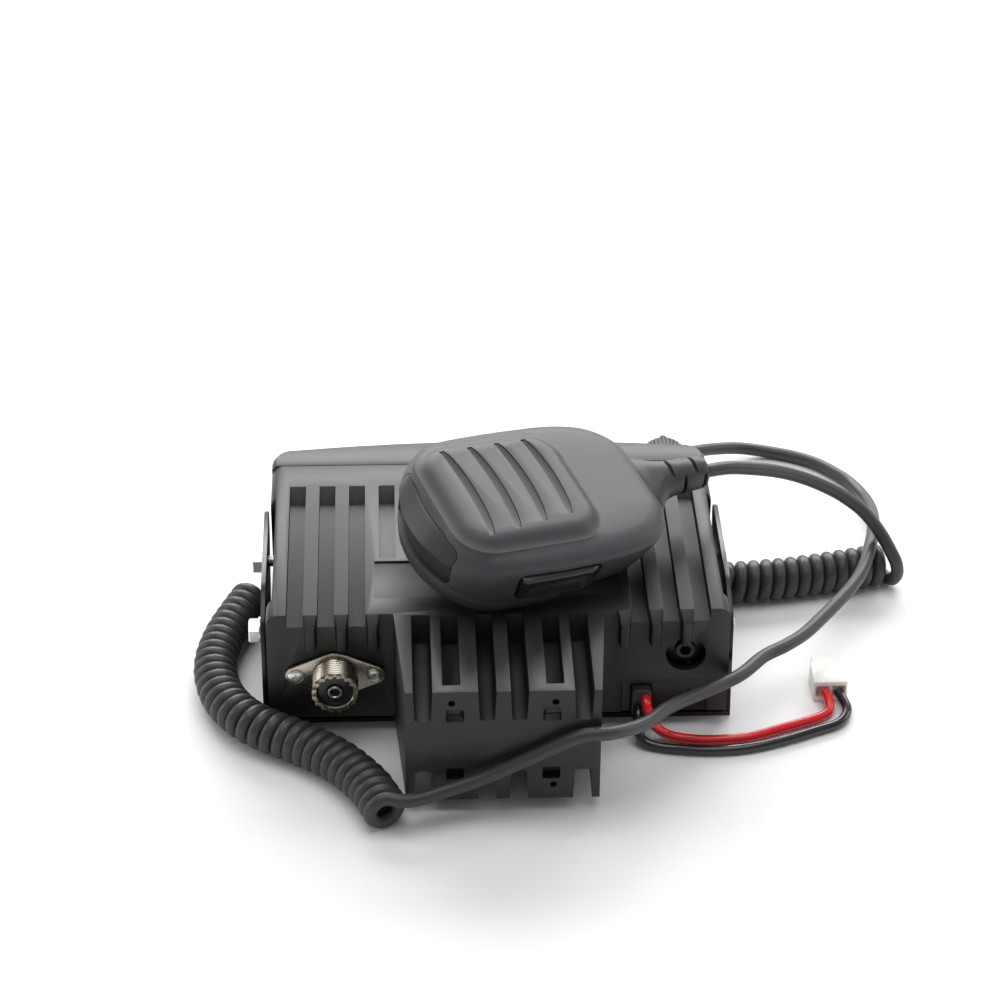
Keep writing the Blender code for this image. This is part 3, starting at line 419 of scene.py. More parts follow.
RED_WIRE = ((51.2, -3.4, 15.2), (51.2, -6.2, 14.8), (53.6, -8.8, 8.6), (58.6, -8.2, 3.0),
            (67.0, -9.8, 1.9), (75.7, -10.4, 1.9), (87.4, -9.2, 1.9), (99.5, -4.5, 1.9),
            (110.4, 0.0, 1.9), (116.6, 4.0, 1.9), (117.6, 8.2, 3.4), (116.4, 13.2, 4.4))
BLACK_WIRE = ((48.6, -3.4, 11.0), (48.6, -6.4, 10.6), (48.2, -9.2, 6.6), (50.2, -11.8, 3.0),
              (55.4, -13.8, 1.9), (63.8, -15.6, 1.9), (75.2, -16.6, 1.9), (86.8, -15.4, 1.9),
              (98.7, -11.7, 1.9), (111.2, -6.3, 1.9), (119.9, -2.0, 1.9), (123.6, 4.4, 2.8),
              (121.4, 13.2, 4.4))


def smooth_route(route, spacing):
    """Even points along a smooth curve through a route."""
    knots = [Vector(point) for point in route]
    knots = [2 * knots[0] - knots[1]] + knots + [2 * knots[-1] - knots[-2]]
    fine = []
    for p, q, r, s in zip(knots, knots[1:], knots[2:], knots[3:]):
        for i in range(16):
            t = i / 16
            fine.append(0.5 * (2 * q + (r - p) * t + (2 * p - 5 * q + 4 * r - s) * t ** 2
                               + (3 * q - p - 3 * r + s) * t ** 3))
    fine.append(knots[-2])
    length = sum((b - a).length for a, b in zip(fine, fine[1:]))
    steps = max(3, round(length / spacing))
    points = [fine[0]]
    travelled = 0.0
    for a, b in zip(fine, fine[1:]):
        run = (b - a).length
        while len(points) < steps and travelled + run >= len(points) * length / steps:
            points.append(a.lerp(b, (len(points) * length / steps - travelled) / run))
        travelled += run
    points.append(fine[-1])
    return points


COIL_SPARE = 0.12


def helix(middle_route, turns, start_angle, per_turn=20):
    """A coil of the cord about a middle line, turning upwards from its left side as it goes."""
    line = smooth_route(middle_route, 1.0)
    radius = (COIL - CORD) / 2 + COIL_SPARE
    count = round(turns * per_turn)
    points = []
    for i in range(count + 1):
        place = i / count * (len(line) - 1)
        low = min(int(place), len(line) - 2)
        middle = line[low].lerp(line[low + 1], place - low)
        ahead = (line[min(low + 2, len(line) - 1)] - line[max(low - 1, 0)]).normalized()
        side = ahead.cross(Vector((0.0, 0.0, 1.0))).normalized()
        up = side.cross(ahead)
        angle = start_angle + 2 * math.pi * i / per_turn
        points.append(middle + radius * (math.cos(angle) * side + math.sin(angle) * up))
    return points


# %% Cord pieces
JACKET_SPARE = 1.012


def cord_curve(name, points, diameter, material, sides):
    """A round cord as one open spline, a little thicker to make up for the bevel's flat sides."""
    curve = bpy.data.curves.new(name, "CURVE")
    curve.dimensions = "3D"
    curve.bevel_depth = diameter / 2 * JACKET_SPARE * MM
    curve.bevel_resolution = sides
    curve.render_resolution_u = 0
    curve.use_fill_caps = True
    spline = curve.splines.new("POLY")
    spline.points.add(len(points) - 1)
    for target, point in zip(spline.points, points):
        target.co = (*(GROUND @ point), 1.0)
    spline.use_smooth = True
    curve.materials.append(material)
    piece = bpy.data.objects.new(name, curve)
    bpy.context.scene.collection.objects.link(piece)
    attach(piece, "root")
    return piece


def length_of(points):
    """The length in metres of a line of points in millimetres."""
    return sum((b - a).length for a, b in zip(points, points[1:])) * MM


RIGHT_TURNS = 12.6
LEFT_TURNS = 33.5
CURLY_SPACING = 1.7
LEAD_SPACING = 2.0
BOTTOM = -math.pi / 2
right_helix = helix(RIGHT_COIL, RIGHT_TURNS, BOTTOM)
left_helix = helix(LEFT_COIL, LEFT_TURNS, BOTTOM)
under = [Vector(point) for point in UNDER]
tail = [Vector(point) for point in RADIO_TAIL]
head = [Vector(point) for point in MIC_TAIL]
curly_points = smooth_route(head + right_helix[2::2] + under + left_helix[2::2] + tail, CURLY_SPACING)
print("curly cord:", round(length_of(curly_points), 3), "m,", len(curly_points), "points")

curly_cord = cord_curve("curly_cord", curly_points, CORD, cord_jacket, 4)
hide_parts("cord_mic_tail", "cord_right_coil", "cord_under_radio", "cord_left_coil",
            "cord_radio_tail")
red_points = smooth_route(RED_WIRE, LEAD_SPACING)
black_points = smooth_route(BLACK_WIRE, LEAD_SPACING)
red_lead = cord_curve("red_lead", red_points, WIRE, red_jacket, 4)
black_lead = cord_curve("black_lead", black_points, WIRE, black_jacket, 4)
for lead, node, slot in ((red_lead, "dc_wire_red", "red_wire"),
                         (black_lead, "dc_wire_black", "black_wire")):
    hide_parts(node)
print("leads:", round(length_of(red_points), 3), round(length_of(black_points), 3), "m")

# %% [markdown]
# ## Cabinet
# The casting is one aluminium part with rounded edges all over.  It could be built again from blocks, but its
# shape is already right in the model, so a copy of that mesh gets the small recesses on the heat sink's face
# and then a rounding on each edge.  The panel and the bracket get the same rounding.  Parts that hardly show
# keep the model's own mesh and only change their finish.

# %% Chassis
SINK = 45.5
HEIGHT = 45.0
PIN_MARK = ((1.2, -SINK - 1), (1.2, -SINK + 3.0))
marks = bmesh.new()
for side in (-1, 1):
    turned(marks, PIN_MARK, (side * 17.3, 0.0, HEIGHT - 4.7), "Y", 20)
    for drop in (9.9, 34.2):
        prism(marks, rounded(3.0, 2.5, 0.5, 3, (side * 16.2, HEIGHT - drop)), -SINK - 1, -SINK + 4.0, "Y")
turned(marks, PIN_MARK, (17.0, 0.0, HEIGHT - 39.3), "Y", 20)
finished("cabinet_casting", cad_copy("chassis"), casting_paint, "root", ["chassis"],
         30.0, (cut(cutter(marks, RADIO)), edge_round(0.35)))

# %% Front panel, covers and bracket
finished("panel_moulding", cad_copy("front_panel"), panel_plastic, "root", ["front_panel"],
         30.0, (edge_round(0.4),))
finished("bracket_sheet", cad_copy("bracket"), sheet_paint, "root", ["bracket"], 30.0,
         (edge_round(0.3),))
refinish(sheet_paint, "black_steel", "bottom_cover", "dc_cover_plate")
refinish(zinc, "bright_zinc", "filter_can", "mic_screw_1", "mic_screw_2", "mic_screw_3", "hanger_stud",
         "mic_capsule")
refinish(insulator, "black_insulator", "loudspeaker", "ptt_switch")
refinish(board_mask, "green_board", "main_board", "front_board", "mic_board", "lcd_module")
refinish(boot_rubber, "cord_rubber", "dc_gland")


# %% [markdown]
# ## Fasteners
# The same screw sits in several places, turned a different way in each.  Copies could be placed one by one,
# but a small tree of nodes does it for every kind: it puts one prototype on each point of a mesh, with its
# axis along the vector that the point carries, and ends in real faces with their material.

# %% The tree that places a prototype
def points_tree():
    """Puts the prototype on every point, turned to the point's facing vector."""
    tree = bpy.data.node_groups.new("prototype_on_points", "GeometryNodeTree")
    for label, kind in (("Points", "NodeSocketGeometry"), ("Prototype", "NodeSocketObject"),
                        ("Size", "NodeSocketFloat"), ("Material", "NodeSocketMaterial")):
        tree.interface.new_socket(label, in_out="INPUT", socket_type=kind)
    tree.interface.new_socket("Geometry", in_out="OUTPUT", socket_type="NodeSocketGeometry")
    node = tree.nodes.new
    given, result = node("NodeGroupInput"), node("NodeGroupOutput")
    info, place = node("GeometryNodeObjectInfo"), node("GeometryNodeInstanceOnPoints")
    facing, turn = node("GeometryNodeInputNamedAttribute"), node("FunctionNodeAlignRotationToVector")
    facing.data_type = "FLOAT_VECTOR"
    facing.inputs["Name"].default_value = "facing"
    turn.axis = "Z"
    realize, paint = node("GeometryNodeRealizeInstances"), node("GeometryNodeSetMaterial")
    for source, output, target, socket in (
            (given, "Points", place, "Points"), (given, "Prototype", info, "Object"),
            (info, "Geometry", place, "Instance"), (facing, "Attribute", turn, "Vector"),
            (turn, "Rotation", place, "Rotation"), (given, "Size", place, "Scale"),
            (place, "Instances", realize, "Geometry"), (realize, "Geometry", paint, "Geometry"),
            (given, "Material", paint, "Material"), (paint, "Geometry", result, "Geometry")):
        tree.links.new(source.outputs[output], target.inputs[socket])
    return tree


POINTS_TREE = points_tree()


def placed(name, prototype, places, material, body="root", nodes=(), smooth=35.0):
    """One prototype bmesh, in millimetres with its axis on Z, at each (point, facing) in metres."""
    bmesh.ops.recalc_face_normals(prototype, faces=prototype.faces)
    part = bpy.data.meshes.new(name + "_prototype")
    prototype.to_mesh(part)
    prototype.free()
    model = bpy.data.objects.new(name + "_prototype", part)
    cutters.objects.link(model)
    mesh = bpy.data.meshes.new(name + "_points")
    mesh.from_pydata([point for point, facing in places], [], [])
    aims = mesh.attributes.new("facing", "FLOAT_VECTOR", "POINT")
    for i, (point, facing) in enumerate(places):
        aims.data[i].vector = facing
    holder = bpy.data.objects.new(name + "_points", mesh)
    bpy.context.scene.collection.objects.link(holder)
    modifier = holder.modifiers.new("Placing", "NODES")
    modifier.node_group = POINTS_TREE
    values = {"Prototype": model, "Size": MM, "Material": material}
    for item in POINTS_TREE.interface.items_tree:
        if item.in_out == "INPUT" and item.name in values:
            modifier[item.identifier] = values[item.name]
    seen = holder.evaluated_get(bpy.context.evaluated_depsgraph_get())
    baked = bpy.data.meshes.new_from_object(seen)
    bpy.data.objects.remove(holder)
    bpy.data.objects.remove(model)
    print(name, "at", len(places), "points")
    return finished(name, baked, material, body, nodes, smooth)


def aimed(frame_matrix, point, facing):
    """A point and a direction of a local frame, in the world."""
    return frame_matrix @ Vector(point), (frame_matrix.to_3x3() @ Vector(facing)).normalized()


# %% Screw and bolt prototypes
def cross_screw(head, shank, length):
    """A pan head with a cross recess, standing on Z = 0."""
    shape = bmesh.new()
    rise = head * 0.34
    profile = ((shank, -length), (shank, -0.02), (head, 0.0), (head, rise * 0.4), (head * 0.86, rise * 0.8),
               (head * 0.5, rise))
    turned(shape, profile, (0.0, 0.0, 0.0), "Z", 32)
    mesh = bpy.data.meshes.new("screw")
    bmesh.ops.recalc_face_normals(shape, faces=shape.faces)
    shape.to_mesh(mesh)
    shape.free()
    body = bpy.data.objects.new("screw", mesh)
    cutters.objects.link(body)
    bpy.context.scene.collection.objects.link(body)
    for turn in (0, 1):
        recess = bmesh.new()
        wide, narrow = head * 0.5, head * 0.13
        half = (wide, narrow) if turn else (narrow, wide)
        block(recess, (-half[0], -half[1], rise * 0.25), (half[0], half[1], rise * 2))
        modifier = body.modifiers.new("Recess", "BOOLEAN")
        modifier.operation, modifier.solver = "DIFFERENCE", "EXACT"
        modifier.object = cutter(recess, Matrix.Identity(4))
    cutshape = bmesh.new()
    cutshape.from_object(body, bpy.context.evaluated_depsgraph_get())
    bpy.data.objects.remove(body)
    return cutshape


def hex_bolt(across, head, shank, length, collar):
    """A hexagon head with a turned top and a washer face, standing on Z = 0."""
    shape = bmesh.new()
    turned(shape, ((shank, -length), (shank, 0.0), (collar, 0.02), (collar, 0.5), (across * 0.5, 0.6)),
           (0.0, 0.0, 0.0), "Z", 36)
    corner = across / math.sqrt(3)
    loft(shape, [[(radius * math.cos(math.pi / 3 * i), radius * math.sin(math.pi / 3 * i), height)
                  for i in range(6)]
                 for radius, height in ((corner, 0.3), (corner, head - 0.4), (corner * 0.9, head))])
    return shape


# %% Bracket bolts and cover screws
# The left arm has full hexagon heads.  The right one has low heads, so that nothing stands out there.
ARM_FACE = 82.6
BOLTS = ((17.0, 27.0), (60.0, 27.0))
COVER_HEAD_RISE = 1.0
for end, word in ((-1, "left"), (1, "right")):
    places = [aimed(RADIO, (end * ARM_FACE, y, z), (end, 0.0, 0.0)) for y, z in BOLTS]
    if end < 0:
        bolt = hex_bolt(8.0, 4.1, 2.0, 6.0, 4.9)
    else:
        bolt = cross_screw(3.0, 2.0, 6.0)
    placed("bracket_bolts_" + word, bolt, places, zinc, "root",
           ["bracket_bolt_%s_1" % word, "bracket_bolt_%s_2" % word])
cover_places = []
for i in range(4):
    low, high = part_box("cover_screw_%d" % (i + 1))
    seat = Vector(((low[0] + high[0]) / 2, (low[1] + high[1]) / 2, low[2] + COVER_HEAD_RISE * MM))
    cover_places.append((seat, Vector((0.0, 0.0, -1.0))))
placed("cover_screws", cross_screw(2.6, 1.2, 4.0), cover_places, zinc, "root",
       ["cover_screw_1", "cover_screw_2", "cover_screw_3", "cover_screw_4"])


# %% [markdown]
# ## Antenna socket
# The socket is turned brass with nickel plating: a lozenge flange, a threaded barrel and a rim with notches
# that a plug's teeth lock into.  The flange is the hull of three circles, and the rim's teeth are one small
# block repeated around a circle by nodes, which is easier to change than a rim with slots cut in it.  The
# thread is a row of plain rings, because at this pitch nobody sees that a real one climbs.

# %% Socket
SOCKET = (-56.6, 20.4)
SOCKET_FRAME = (RADIO @ Matrix.Translation((SOCKET[0], 0.0, SOCKET[1]))
                @ Matrix.Rotation(math.pi / 2, 4, "X"))
BARREL = 7.95
SCREW_REACH = 13.6
FLANGE_FACE = 1.65
THREAD_PITCH = 1.06
THREADS = 8
TEETH = 16
TOOTH_CIRCLE = 7.25
RIM_HEIGHT = 11.4


def hull_of_circles(circles, count=72):
    """The outline around (x, y, radius) circles."""
    outline = []
    for i in range(count):
        ray = Vector((math.cos(2 * math.pi * i / count), math.sin(2 * math.pi * i / count)))
        x, y, radius = max(circles, key=lambda c: ray.x * c[0] + ray.y * c[1] + c[2])
        outline.append((x + radius * ray.x, y + radius * ray.y))
    return outline


def turned_tube(profile, sides=72):
    """A closed ring section turned about Z, so that it has a bore."""
    shape = bmesh.new()
    angles = [2 * math.pi * i / sides for i in range(sides)]
    rings = [[(r * math.cos(a), r * math.sin(a), h) for a in angles] for r, h in profile]
    loft(shape, rings + rings[:1], False)
    bmesh.ops.remove_doubles(shape, verts=shape.verts, dist=1e-4)
    return shape


flange = bmesh.new()
prism(flange, hull_of_circles(((0.0, 0.0, 9.2), (-SCREW_REACH, 0.0, 3.7), (SCREW_REACH, 0.0, 3.7))), 0.3, 1.6)
piece_from("socket_flange", flange, SOCKET_FRAME, nickel, "root", ["antenna_socket"],
           modifiers=(edge_round(0.3),))
profile = [(6.3, 1.4), (BARREL - 0.5, 1.5), (BARREL - 0.5, 2.6)]
for i in range(THREADS):
    climb = i * THREAD_PITCH
    profile += [(BARREL, 2.9 + climb), (BARREL, 3.15 + climb), (BARREL - 0.32, 3.55 + climb)]
profile += [(BARREL, 11.2), (BARREL, 11.5), (6.6, 11.5), (6.3, 11.2)]
piece_from("socket_barrel", turned_tube(profile), SOCKET_FRAME, nickel, smooth=40.0)

tooth = bmesh.new()
prism(tooth, rounded(0.75, 0.62, 0.3, 3), -0.4, 1.0)
tooth_places = []
for i in range(TEETH):
    angle = 2 * math.pi * (i + 0.5) / TEETH
    tooth_place = (TOOTH_CIRCLE * math.cos(angle), TOOTH_CIRCLE * math.sin(angle), RIM_HEIGHT)
    tooth_places.append(aimed(SOCKET_FRAME, tooth_place, (0, 0, 1)))
placed("socket_teeth", tooth, tooth_places, nickel)

# %% Insulator, contact and flange screws
core = bmesh.new()
core_profile = ((6.25, 1.4), (6.25, 10.2), (5.4, 10.6), (3.0, 10.6), (2.9, 9.2), (2.6, 9.2))
turned(core, core_profile, (0, 0, 0), "Z", 48)
piece_from("socket_insulator", core, SOCKET_FRAME, insulator, "root", ["antenna_insulator"])
sleeve = turned_tube(((1.7, 9.4), (2.55, 9.4), (2.55, 11.3), (2.3, 11.6), (1.9, 11.6), (1.7, 11.3)))
piece_from("socket_contact", sleeve, SOCKET_FRAME, nickel, "root", ["antenna_contact"])
screw_places = [aimed(SOCKET_FRAME, (side * SCREW_REACH, 0.0, FLANGE_FACE), (0.0, 0.0, 1.0))
                for side in (-1, 1)]
placed("flange_screws", cross_screw(2.8, 1.4, 3.0), screw_places, zinc, "root",
       ["flange_screw_1", "flange_screw_2"])

# %% [markdown]
# ## Jacks, plug and connector
# Small moulded parts come next.  Copies of the model's own solids, with every edge rounded, are enough for
# most of them.  The connector shows from near by, so it is built afresh with its two bores and a tongue
# that has a hollow end.

# %% Small moulded parts
for node, material, slot in (("speaker_jack", insulator, "black_insulator"),
                             ("mic_jack", insulator, "black_insulator"),
                             ("lcd_window", window_tint, "dark_window")):
    finished(node + "_moulding", cad_copy(node), material, "root", [node], 30.0, (edge_round(0.25),))

modular_plug = finished("modular_plug", cad_copy("mic_plug"), milky_nylon, "root", ["mic_plug"],
                        30.0, (edge_round(0.25),))

# %% Supply connector
connector_low, connector_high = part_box("dc_connector")
half = [(high - low) / 2 / MM for low, high in zip(connector_low, connector_high)]
middle = [(high + low) / 2 for low, high in zip(connector_low, connector_high)]
CONNECTOR = Matrix.Translation(middle) @ Matrix.Scale(MM, 4)
body = bmesh.new()
block(body, (-half[0], -half[1], -half[2]), (half[0], half[1] - 4.0, half[2]))
bores = bmesh.new()
for side in (-1, 1):
    block(bores, (side * 2.9 - 2.1, -half[1] - 1, -2.4), (side * 2.9 + 2.1, -half[1] + 3.0, 2.2))
tongues = bmesh.new()
block(tongues, (-half[0] + 0.9, half[1] - 5.0, -half[2] + 0.9), (half[0] - 0.9, half[1], half[2] - 0.9))
socket_room = bmesh.new()
block(socket_room, (-half[0] + 1.9, half[1] - 7.0, -half[2] + 1.9),
      (half[0] - 1.9, half[1] + 1, half[2] - 1.9))
supply_connector = piece_from(
    "supply_connector", body, CONNECTOR, milky_nylon, "root", ["dc_connector"],
    modifiers=(cut(cutter(bores, CONNECTOR)), cut(cutter(tongues, CONNECTOR), "UNION"),
               cut(cutter(socket_room, CONNECTOR)), edge_round(0.35)))

# %% [markdown]
# ## Microphone
# The hand microphone is two moulded shells with a rubber boot, an end cap and a talk lever.  Its front is a
# smooth shape with a raised pad.  A subdivided cage could give that, but its corners drift as it is smoothed,
# so it is built as rings around one centre: each ring is the outline drawn in a little further, or the pad's
# own outline, and every spoke crosses all the rings.

# %% Outline and rings
MIC_OUTLINE = ((58.2, 9.0), (57.4, 17.0), (53.4, 24.6), (46.0, 30.6), (34.0, 33.8), (20.0, 34.5), (5.0, 34.5),
               (-12.0, 33.5), (-20.6, 29.6), (-27.0, 22.0), (-31.0, 13.0), (-32.8, 5.0))
MIC_CENTRE = Vector((4.0, 0.0))
SPOKES = 180
PAD_HALF = (26.0, 25.0)


def closed_smooth(points, steps=8):
    """A closed smooth curve through plane points."""
    count = len(points)
    result = []
    for i in range(count):
        p, q, r, s = (Vector(points[(i + k - 1) % count]) for k in range(4))
        for j in range(steps):
            t = j / steps
            result.append(0.5 * (2 * q + (r - p) * t + (2 * p - 5 * q + 4 * r - s) * t * t
                                 + (3 * q - p - 3 * r + s) * t ** 3))
    return result


def drawn_in(outline, amount):
    """Every point moved inwards by amount."""
    result = []
    for before, here, after in zip(outline[-1:] + outline[:-1], outline, outline[1:] + outline[:1]):
        along = (after - before).normalized()
        result.append(here + amount * Vector((-along.y, along.x)))
    return result


def spoke_lengths(outline):
    """How far the outline is from the centre along each spoke."""
    lengths = []
    edges = list(zip(outline, outline[1:] + outline[:1]))
    for i in range(SPOKES):
        ray = Vector((math.cos(2 * math.pi * i / SPOKES), math.sin(2 * math.pi * i / SPOKES)))
        best = 0.0
        for a, b in edges:
            p, d = a - MIC_CENTRE, b - a
            cross = ray.x * d.y - ray.y * d.x
            if abs(cross) > 1e-9:
                reach = (p.x * d.y - p.y * d.x) / cross
                share = (p.x * ray.y - p.y * ray.x) / cross
                if -1e-6 <= share <= 1 + 1e-6 and reach > best:
                    best = reach
        lengths.append(best)
    return lengths


half_outline = [Vector(point) for point in MIC_OUTLINE]
whole = closed_smooth(half_outline + [Vector((x, -y)) for x, y in reversed(half_outline)])
if sum(a.x * b.y - a.y * b.x for a, b in zip(whole, whole[1:] + whole[:1])) < 0:
    whole.reverse()


def spoke_ring(lengths, heights):
    """The points at the given lengths along the spokes, at one height or at one for each spoke."""
    ring = []
    for i, length in enumerate(lengths):
        angle = 2 * math.pi * i / SPOKES
        height = heights(i) if callable(heights) else heights
        ring.append((MIC_CENTRE.x + length * math.cos(angle), MIC_CENTRE.y + length * math.sin(angle),
                     height))
    return ring


def pad_lengths(grow):
    """The raised pad's outline, grown or shrunk."""
    radius = max(11.0 + grow, 3.0)
    outline = rounded(PAD_HALF[0] + grow, PAD_HALF[1] + grow, radius, 10, (MIC_CENTRE.x - 1.0, 0.0))
    return spoke_lengths([Vector(point) for point in outline])


def body_lengths(inset, height):
    """The outline drawn in; the corners at the cord's end fall away to the back, and the other end slopes."""
    lengths = spoke_lengths(drawn_in(whole, inset))
    share = min(1.2, max(0.0, (-height - 8.0) / 14.0))
    result = []
    for i, length in enumerate(lengths):
        angle = abs((i * 360.0 / SPOKES + 180.0) % 360.0 - 180.0)
        corner = max(0.0, math.cos(math.radians((angle - 36.0) * 2.0))) if 0.0 < angle < 81.0 else 0.0
        end = math.sin(math.radians(angle - 90.0)) ** 3 if angle > 90.0 else 0.0
        rise = min(1.0, max(0.0, (height + 12.6) / 6.0))
        result.append(length - 5.0 * corner * share - 4.2 * end * rise)
    return result


def front_rings():
    """Rings from the seam over the shoulder, up the pad and in to the centre."""
    foot = pad_lengths(2.6)
    rings = []
    shoulder = ((1.2, -22.0), (0.9, -19.5), (0.4, -16.0), (0.0, -12.0), (0.0, -9.6), (0.2, -8.2), (0.7, -6.9),
                (1.5, -5.8), (2.7, -4.9), (4.2, -4.2), (6.0, -3.6), (8.0, -3.2))
    for k, (inset, height) in enumerate(shoulder):
        lengths = body_lengths(inset, height)
        spare = 0.2 * (len(shoulder) - k)
        rings.append(spoke_ring([max(a, b + spare) for a, b in zip(lengths, foot)], height))
    for grow, height in ((2.6, -3.05), (1.8, -2.93), (1.0, -2.68), (0.2, -2.25), (-0.6, -1.65), (-1.4, -1.05),
                         (-2.2, -0.6), (-3.2, -0.25), (-4.4, -0.06), (-6.0, 0.0)):
        rings.append(spoke_ring(pad_lengths(grow), height))
    return rings


# %% Front shell
MIC_SLOTS = (-13.0, -2.4, 8.2, 18.6)
SLOT_STEPS = 28
SLOT_DEPTH = 1.3
LEVER = (-6.0, 24.0)
front = bmesh.new()
loft(front, front_rings())
grille = bmesh.new()
for i, x in enumerate(MIC_SLOTS):
    near, far = -21.5 + 1.4 * i, 22.0
    sections = []
    for k in range(SLOT_STEPS + 1):
        share = math.sin(math.pi * (k / SLOT_STEPS - 0.5))
        y = (near + far) / 2 + (far - near) / 2 * share
        fill = max(0.1, 1 - share ** 2) ** 0.22
        left = x - 1.7 + 1.3 * (1 - share ** 2)
        deep = -SLOT_DEPTH * fill
        right = left + 3.5 * fill
        sections.append([(left, y, 1.0), (left - 0.1, y, deep), (left + 1.5 * fill, y, deep),
                         (left + 3.3 * fill, y, -0.55), (right, y, 0.4), (right, y, 1.0)])
    loft(grille, sections)
room = bmesh.new()
prism(room, rounded((LEVER[1] - LEVER[0] + 2.4) / 2, 5.6, 2.4, 5, ((LEVER[0] + LEVER[1]) / 2 + 0.2, -15.0)),
      -40.0, -28.4, "Y")


def cap_room(grow):
    """The room that the end cap takes in the shell."""
    shape = bmesh.new()
    prism(shape, rounded(21.6 + grow, 7.9 + grow, 4.2, 6, (0.0, -14.1)), -40.0, -22.4 + grow, "X")
    return shape


piece_from("mic_front", front, MIC, mic_plastic, "root", ["mic_front_shell"], 24.0,
           (cut(cutter(grille, MIC)), cut(cutter(cap_room(0.25), MIC)), cut(cutter(room, MIC)),
            edge_round(0.3, 2, 42.0)))

# %% End cap
cap = bmesh.new()
loft(cap, [spoke_ring(body_lengths(inset, height), height) for inset, height in
           ((3.0, -21.9), (1.4, -17.0), (-0.1, -12.6), (0.0, -12.0), (0.3, -6.0))])
piece_from("mic_cap", cap, MIC, cap_plastic, "root", ["mic_end_cap"], 30.0,
           (cut(cutter(cap_room(0.0), MIC), "INTERSECT"), edge_round(0.5, 3)))

# %% Back shell
BACK_SLOPE = 0.086
back = bmesh.new()
back_rings = []
for inset, share in ((1.3, 0.0), (1.5, 0.25), (2.2, 0.55), (3.3, 0.8), (4.8, 0.94), (6.6, 1.0), (14.0, 1.0)):
    lengths = body_lengths(inset, -22.0 - 4.0 * share)
    back_rings.append(spoke_ring(lengths, lambda i, share=share, lengths=lengths: -22.15 - share * (
        9.45 - BACK_SLOPE * (MIC_CENTRE.x + lengths[i] * math.cos(2 * math.pi * i / SPOKES) + 33.0))))
loft(back, back_rings)
holes = bmesh.new()
for x, y in ((-16.0, -14.0), (-16.0, 14.0), (44.0, 0.0)):
    turned(holes, ((2.8, -40.0), (2.8, -26.6)), (x, y, 0.0), "Z", 24)
turned(holes, ((2.7, -40.0), (2.7, -29.0)), (-12.0, 4.0, 0.0), "Z", 24)
piece_from("mic_back", back, MIC, mic_plastic, "root", ["mic_back_shell"], 38.0,
           (cut(cutter(holes, MIC)), edge_round(0.3, 2, 42.0)))

# %% Boot
boot = bmesh.new()
BOOT_OVALS = ((56.0, 15.6, 7.4, -12.4), (58.3, 15.6, 7.6, -12.2), (58.9, 14.9, 7.6, -12.0),
              (60.0, 13.0, 7.5, -11.4), (61.6, 10.4, 7.3, -10.4), (63.4, 8.4, 7.0, -9.5),
              (65.6, 7.1, 6.8, -8.9), (69.0, 6.4, 6.5, -8.3), (74.0, 6.1, 6.2, -8.0),
              (79.6, 5.8, 6.0, -7.7), (81.2, 5.4, 5.6, -7.6), (81.8, 4.6, 4.8, -7.6))
BOOT_SIDES = 48
loft(boot, [[(x, a * math.cos(2 * math.pi * i / BOOT_SIDES), z + b * math.sin(2 * math.pi * i / BOOT_SIDES))
             for i in range(BOOT_SIDES)] for x, a, b, z in BOOT_OVALS])
slots = bmesh.new()
for x, upright in ((66.4, True), (71.4, False), (76.0, True), (79.6, False)):
    for side in (-1, 1):
        if upright:
            block(slots, (x - 0.7, -5.0, -8.3 + side * 6.3 - 1.9), (x + 0.7, 5.0, -8.3 + side * 6.3 + 1.9))
        else:
            block(slots, (x - 0.7, side * 6.1 - 1.9, -12.4), (x + 0.7, side * 6.1 + 1.9, -3.4))
piece_from("mic_strain_boot", boot, MIC, boot_rubber, "root", ["mic_boot"], 38.0,
           (cut(cutter(slots, MIC)), edge_round(0.3)))

# %% Talk lever
LEVER_FRAME = MIC @ Matrix.Translation((LEVER[1] - 1.0, -31.6, -14.6))
lever = bmesh.new()
length = LEVER[1] - LEVER[0]
sections = []
for x, face in ((1.0, -2.0), (0.2, -2.9), (-2.0, -3.8), (-8.0, -4.1), (-22.0, -4.4), (1.8 - length, -4.4),
                (1.0 - length, -3.4)):
    sections.append([(x, 1.6, -5.0), (x, 1.6, 4.6), (x, face + 1.3, 4.6), (x, face + 0.2, 4.1),
                     (x, face - 0.2, 3.2), (x, face + 0.1, 2.2), (x, face + 0.7, 1.7), (x, face + 0.7, -4.2),
                     (x, face + 1.4, -5.0)])
loft(lever, sections)
ribs = bmesh.new()
for k in range(4):
    block(ribs, (4.0 - length, -3.9, -1.2 - k * 0.95), (-4.0, -1.0, -0.8 - k * 0.95))
piece_from("talk_lever", lever, LEVER_FRAME, lever_plastic, "ptt_lever", ["ptt_lever"], 35.0,
           (cut(cutter(ribs, LEVER_FRAME), "UNION"), edge_round(0.25)))

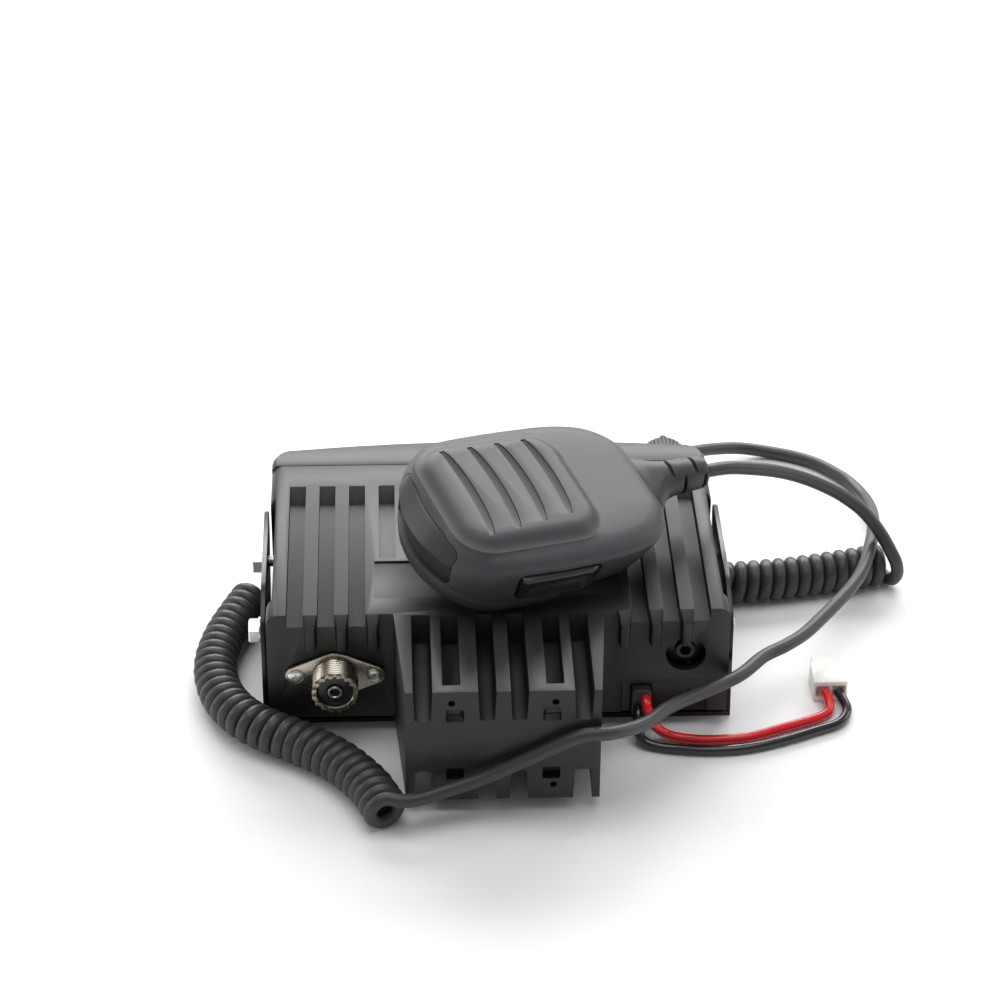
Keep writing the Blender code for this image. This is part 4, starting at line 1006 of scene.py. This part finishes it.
# %% [markdown]
# ## Front controls
# The front carries a plain knob and plain keys, such as most of these radios have.  The knob's grip is a ring
# of small ribs, placed by the same tree as the screws, with a wing across its face for a pointer.  Ribs cut
# into one turned shape would look the same, but then their number couldn't be changed in one place.  The keys
# are the model's own, with soft edges, and each one rides on its own body so that it can be pressed.

# %% Volume knob
knob_low, knob_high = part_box("volume_knob")
KNOB = Matrix.Translation(((knob_low[0] + knob_high[0]) / 2, knob_low[1], (knob_low[2] + knob_high[2]) / 2))
KNOB = KNOB @ Matrix.Rotation(-math.pi / 2, 4, "X") @ Matrix.Scale(MM, 4)
KNOB_LONG = (knob_high[1] - knob_low[1]) / MM
KNOB_RADIUS = (knob_high[0] - knob_low[0]) / 2 / MM
print("knob:", round(KNOB_RADIUS, 2), "by", round(KNOB_LONG, 2))
knob = bmesh.new()
knob_profile = ((KNOB_RADIUS * 0.6, 0.0), (KNOB_RADIUS - 0.5, 0.2), (KNOB_RADIUS - 0.5, KNOB_LONG - 2.4),
                (KNOB_RADIUS - 1.0, KNOB_LONG - 1.6), (KNOB_RADIUS * 0.55, KNOB_LONG - 1.5))
turned(knob, knob_profile, (0, 0, 0), "Z", 64)
wing = bmesh.new()
prism(wing, rounded(1.4, KNOB_RADIUS - 1.0, 1.3, 5), 1.0, KNOB_LONG)
piece_from("knob_body", knob, KNOB, panel_plastic, "volume_knob", ["volume_knob"], 35.0,
           (cut(cutter(wing, KNOB), "UNION"), edge_round(0.25)))
grip = bmesh.new()
prism(grip, rounded(0.4, 0.45, 0.3, 2), 0.6, KNOB_LONG - 2.8)
GRIPS = 36
placed("knob_grip", grip,
       [aimed(KNOB, ((KNOB_RADIUS - 0.5) * math.cos(2 * math.pi * i / GRIPS),
                     (KNOB_RADIUS - 0.5) * math.sin(2 * math.pi * i / GRIPS), 0.0), (0.0, 0.0, 1.0))
        for i in range(GRIPS)], panel_plastic, "volume_knob")

# %% Keys
for node in ("power_key", "key_1", "key_2", "key_3", "key_4", "key_5"):
    finished(node + "_cap", cad_copy(node), cap_plastic, node, [node], 30.0,
             (edge_round(0.45, 3),))
